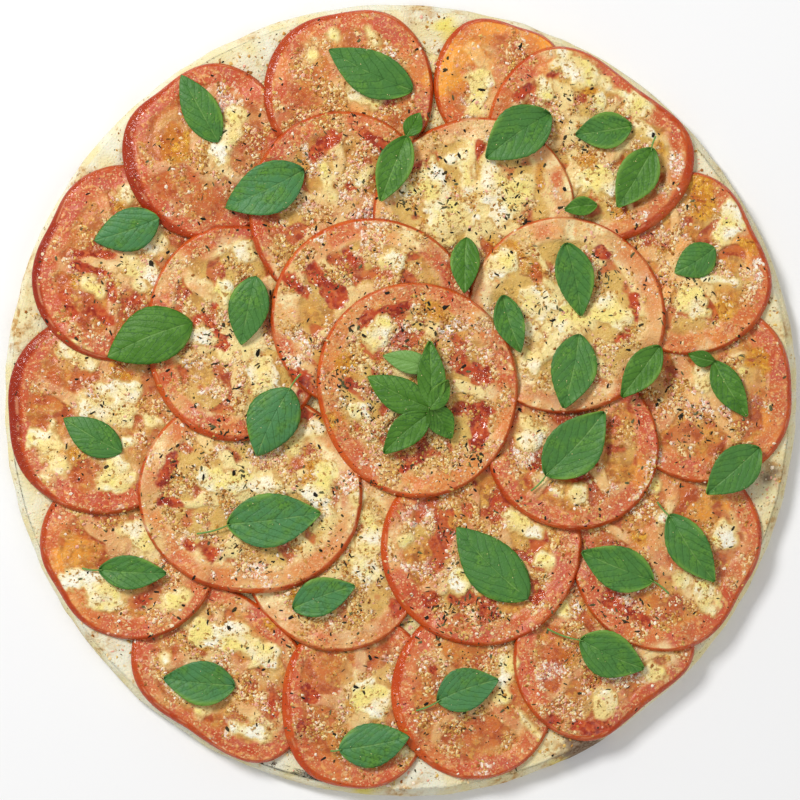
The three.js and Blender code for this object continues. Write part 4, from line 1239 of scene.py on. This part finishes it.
def scatter(name, count, sides, keep, size, finish, slot, on_leaves=False, heaped=False):
    """One mesh of many crumbs at places to keep, where size draws the measures of one crumb."""
    shape, faces = lump_shape(sides)
    corners, tints, made = [], [], 0
    for px, py, *_ in keep:
        if made == count:
            break
        hit = landing(px, py)
        if hit is None or hit[2].startswith(("leaf", "stalk", "sprig")) != on_leaves:
            continue
        spot, slope, _, crumby = hit
        stays = STRAYING + (1 - STRAYING) * crumby
        if slope.z < STEEPEST or (heaped and DRAWS.random() > stays):
            continue
        length, wide, high, tint = size()
        turn = DRAWS.uniform(0, 2 * math.pi)
        first = Vector((math.cos(turn), math.sin(turn), 0))
        first = (first - slope * first.dot(slope)).normalized()
        second = slope.cross(first)
        rough = shape * DRAWS.uniform(0.5, 1.25, (len(shape), 1)) * (length / 2, wide / 2, high / 2)
        basis = np.array([first, second, slope])
        corners.append(rough @ basis + np.array(spot) + np.array(slope) * high * 0.12)
        tints.append(tint)
        made += 1
    mesh = bpy.data.meshes.new(name)
    index = np.concatenate([faces + k * len(shape) for k in range(made)])
    mesh.from_pydata((np.concatenate(corners) * MM).tolist(), [], index.tolist())
    mesh.shade_flat()
    layer = mesh.attributes.new("tint", "FLOAT", "POINT")
    layer.data.foreach_set("value", np.repeat(tints, len(shape)).astype(np.float32))
    piece = bpy.data.objects.new(name, mesh)
    bpy.context.collection.objects.link(piece)
    settle_in(piece, finish, slot)
    print(name, made, "crumbs,", len(index), "faces")


print("crumbs fall within", REACH, "mm")

# %% Grated cheese and herbs
def pale_side(places):
    """1 where the grated cheese stayed pale and pinkish, 0 where it toasted golden."""
    field = lumps(places, 20, 90) + 0.6 * lumps(places, 7, 91)
    return np.maximum(ramp(field, -0.15, 0.25), in_spots(places, CHALKY, 2, 0.8, 48))


def inner(places, start):
    """1 in the middle, and from that radius on falling to 0 at the rim."""
    return 1 - ramp(polar(places)[0], start, REACH)


def grain_chance(places):
    return (0.15 + 0.85 * pale_side(places)) * (0.3 + 0.7 * inner(places, 128))


def toasted_chance(places):
    return (1 - 0.75 * pale_side(places)) * (0.25 + 0.75 * inner(places, 130))


def herb_chance(places):
    herby = in_spots(places, HERBY, 5, 0.5, 72)
    bare = in_spots(places, BARE, 3, 0.6, 46)
    clusters = ramp(lumps(places, 8, 74), -0.3, 0.3)
    return (0.15 + 0.85 * herby * clusters) * (1 - 0.7 * bare) * (0.25 + 0.75 * inner(places, 120))


def grain_size():
    length = 0.55 + 1.35 * DRAWS.random() ** 1.7
    return length, length * DRAWS.uniform(0.55, 0.9), length * 0.55, DRAWS.random()


def flake_size():
    length = 0.45 + 2.5 * DRAWS.random() ** 2.8
    return length, 0.38 + 0.4 * length * DRAWS.random(), 0.35, DRAWS.random()


def dust_size():
    length = DRAWS.uniform(0.25, 0.5)
    return length, length * 0.8, length * 0.6, 0.5


def large_flake():
    return DRAWS.uniform(2.6, 3.8), DRAWS.uniform(1.1, 1.9), 0.6, DRAWS.random()


def large_crumb():
    return DRAWS.uniform(1.5, 2.4), DRAWS.uniform(1.2, 1.6), 1.0, 0.75


# the few flakes and crumbs that are large enough to be placed one by one
LARGE_FLAKES = [
    (-62.2, -78.8), (-64.6, -123.6), (30.3, 116.4), (-20.3, -61.7), (-64.1, -85.5), (-62, -27.8),
    (-18.4, 26), (-69.5, 13.5), (-53.4, 17.3), (-93.2, 51), (22.2, 91.4), (16.9, 85.1),
    (44.8, 132.4), (16.9, 34.6),
]
LARGE_CRUMBS = [
    (-134.1, 54.8), (-132.6, 52.8), (-134.8, 45.7), (-12, 65), (-55, -32.7), (38, 1.5),
    (56.3, 129.4),
]
scatter("grated_cheese", 13000, 5, draw_places(13000, grain_chance), grain_size, GRATED, "cheese",
        heaped=True)
scatter("toasted_cheese", 11000, 5, draw_places(11000, toasted_chance), grain_size, TOASTED,
        "cheese", heaped=True)
scatter("dried_herbs", 4600, 6, draw_places(4600, herb_chance), flake_size, HERB, "basil")
scatter("cheese_dust", 260, 4, draw_places(260, lambda places: 0.9), dust_size, GRATED, "cheese",
        on_leaves=True)
scatter("large_flakes", 20, 8, LARGE_FLAKES, large_flake, HERB, "basil")
scatter("large_crumbs", 20, 8, LARGE_CRUMBS, large_crumb, GRATED, "cheese")

# %% [markdown]
# ## Table, light and camera
# A plain pale table and soft light from a wide lamp keep the colours true. The camera looks
# straight down from far off with a long lens, so the outline fills the square as in the
# photograph and the sides stay hidden.

# %% Table
bpy.ops.object.select_all(action="DESELECT")
bpy.ops.mesh.primitive_plane_add(size=6, location=(0, 0, 0))
table = bpy.context.object
table.name = "table"
# white laminate rubbed matt: it adds no colour and mirrors nothing
pale, _ = new_finish("plain pale table")
table.data.materials.append(coated(pale, colour(0.9), 0.9))

# %% Light
world = bpy.data.worlds.new("soft room")
world.use_nodes = True
glow_of_room = world.node_tree.nodes["Background"].inputs
glow_of_room["Color"].default_value = (1, 1, 1, 1)
glow_of_room["Strength"].default_value = 0.40
SCENE.world = world
SCENE.view_settings.view_transform = "Standard"
# name, place in m, power in W and width in m
LAMPS = [("key", (-0.9, 0.9, 1.5), 28, 0.5), ("fill", (0.9, -0.5, 1.6), 5.5, 1.2)]
for name, spot, power, size in LAMPS:
    lamp = bpy.data.lights.new(name, "AREA")
    lamp.energy = power
    lamp.size = size
    holder = bpy.data.objects.new(name, lamp)
    holder.location = spot
    holder.rotation_euler = (-Vector(spot)).to_track_quat("-Z", "Y").to_euler()
    bpy.context.collection.objects.link(holder)

# %% Camera
CAMERA_HEIGHT = 1.8
FRAME_WIDTH = 0.3008
SENSOR = 36
lens = bpy.data.cameras.new("camera")
lens.sensor_width = SENSOR
lens.lens = SENSOR * CAMERA_HEIGHT / FRAME_WIDTH
camera = bpy.data.objects.new("camera", lens)
camera.location = (0, 0, CAMERA_HEIGHT + 0.006)
bpy.context.collection.objects.link(camera)
SCENE.camera = camera
print("lens", round(lens.lens), "mm")
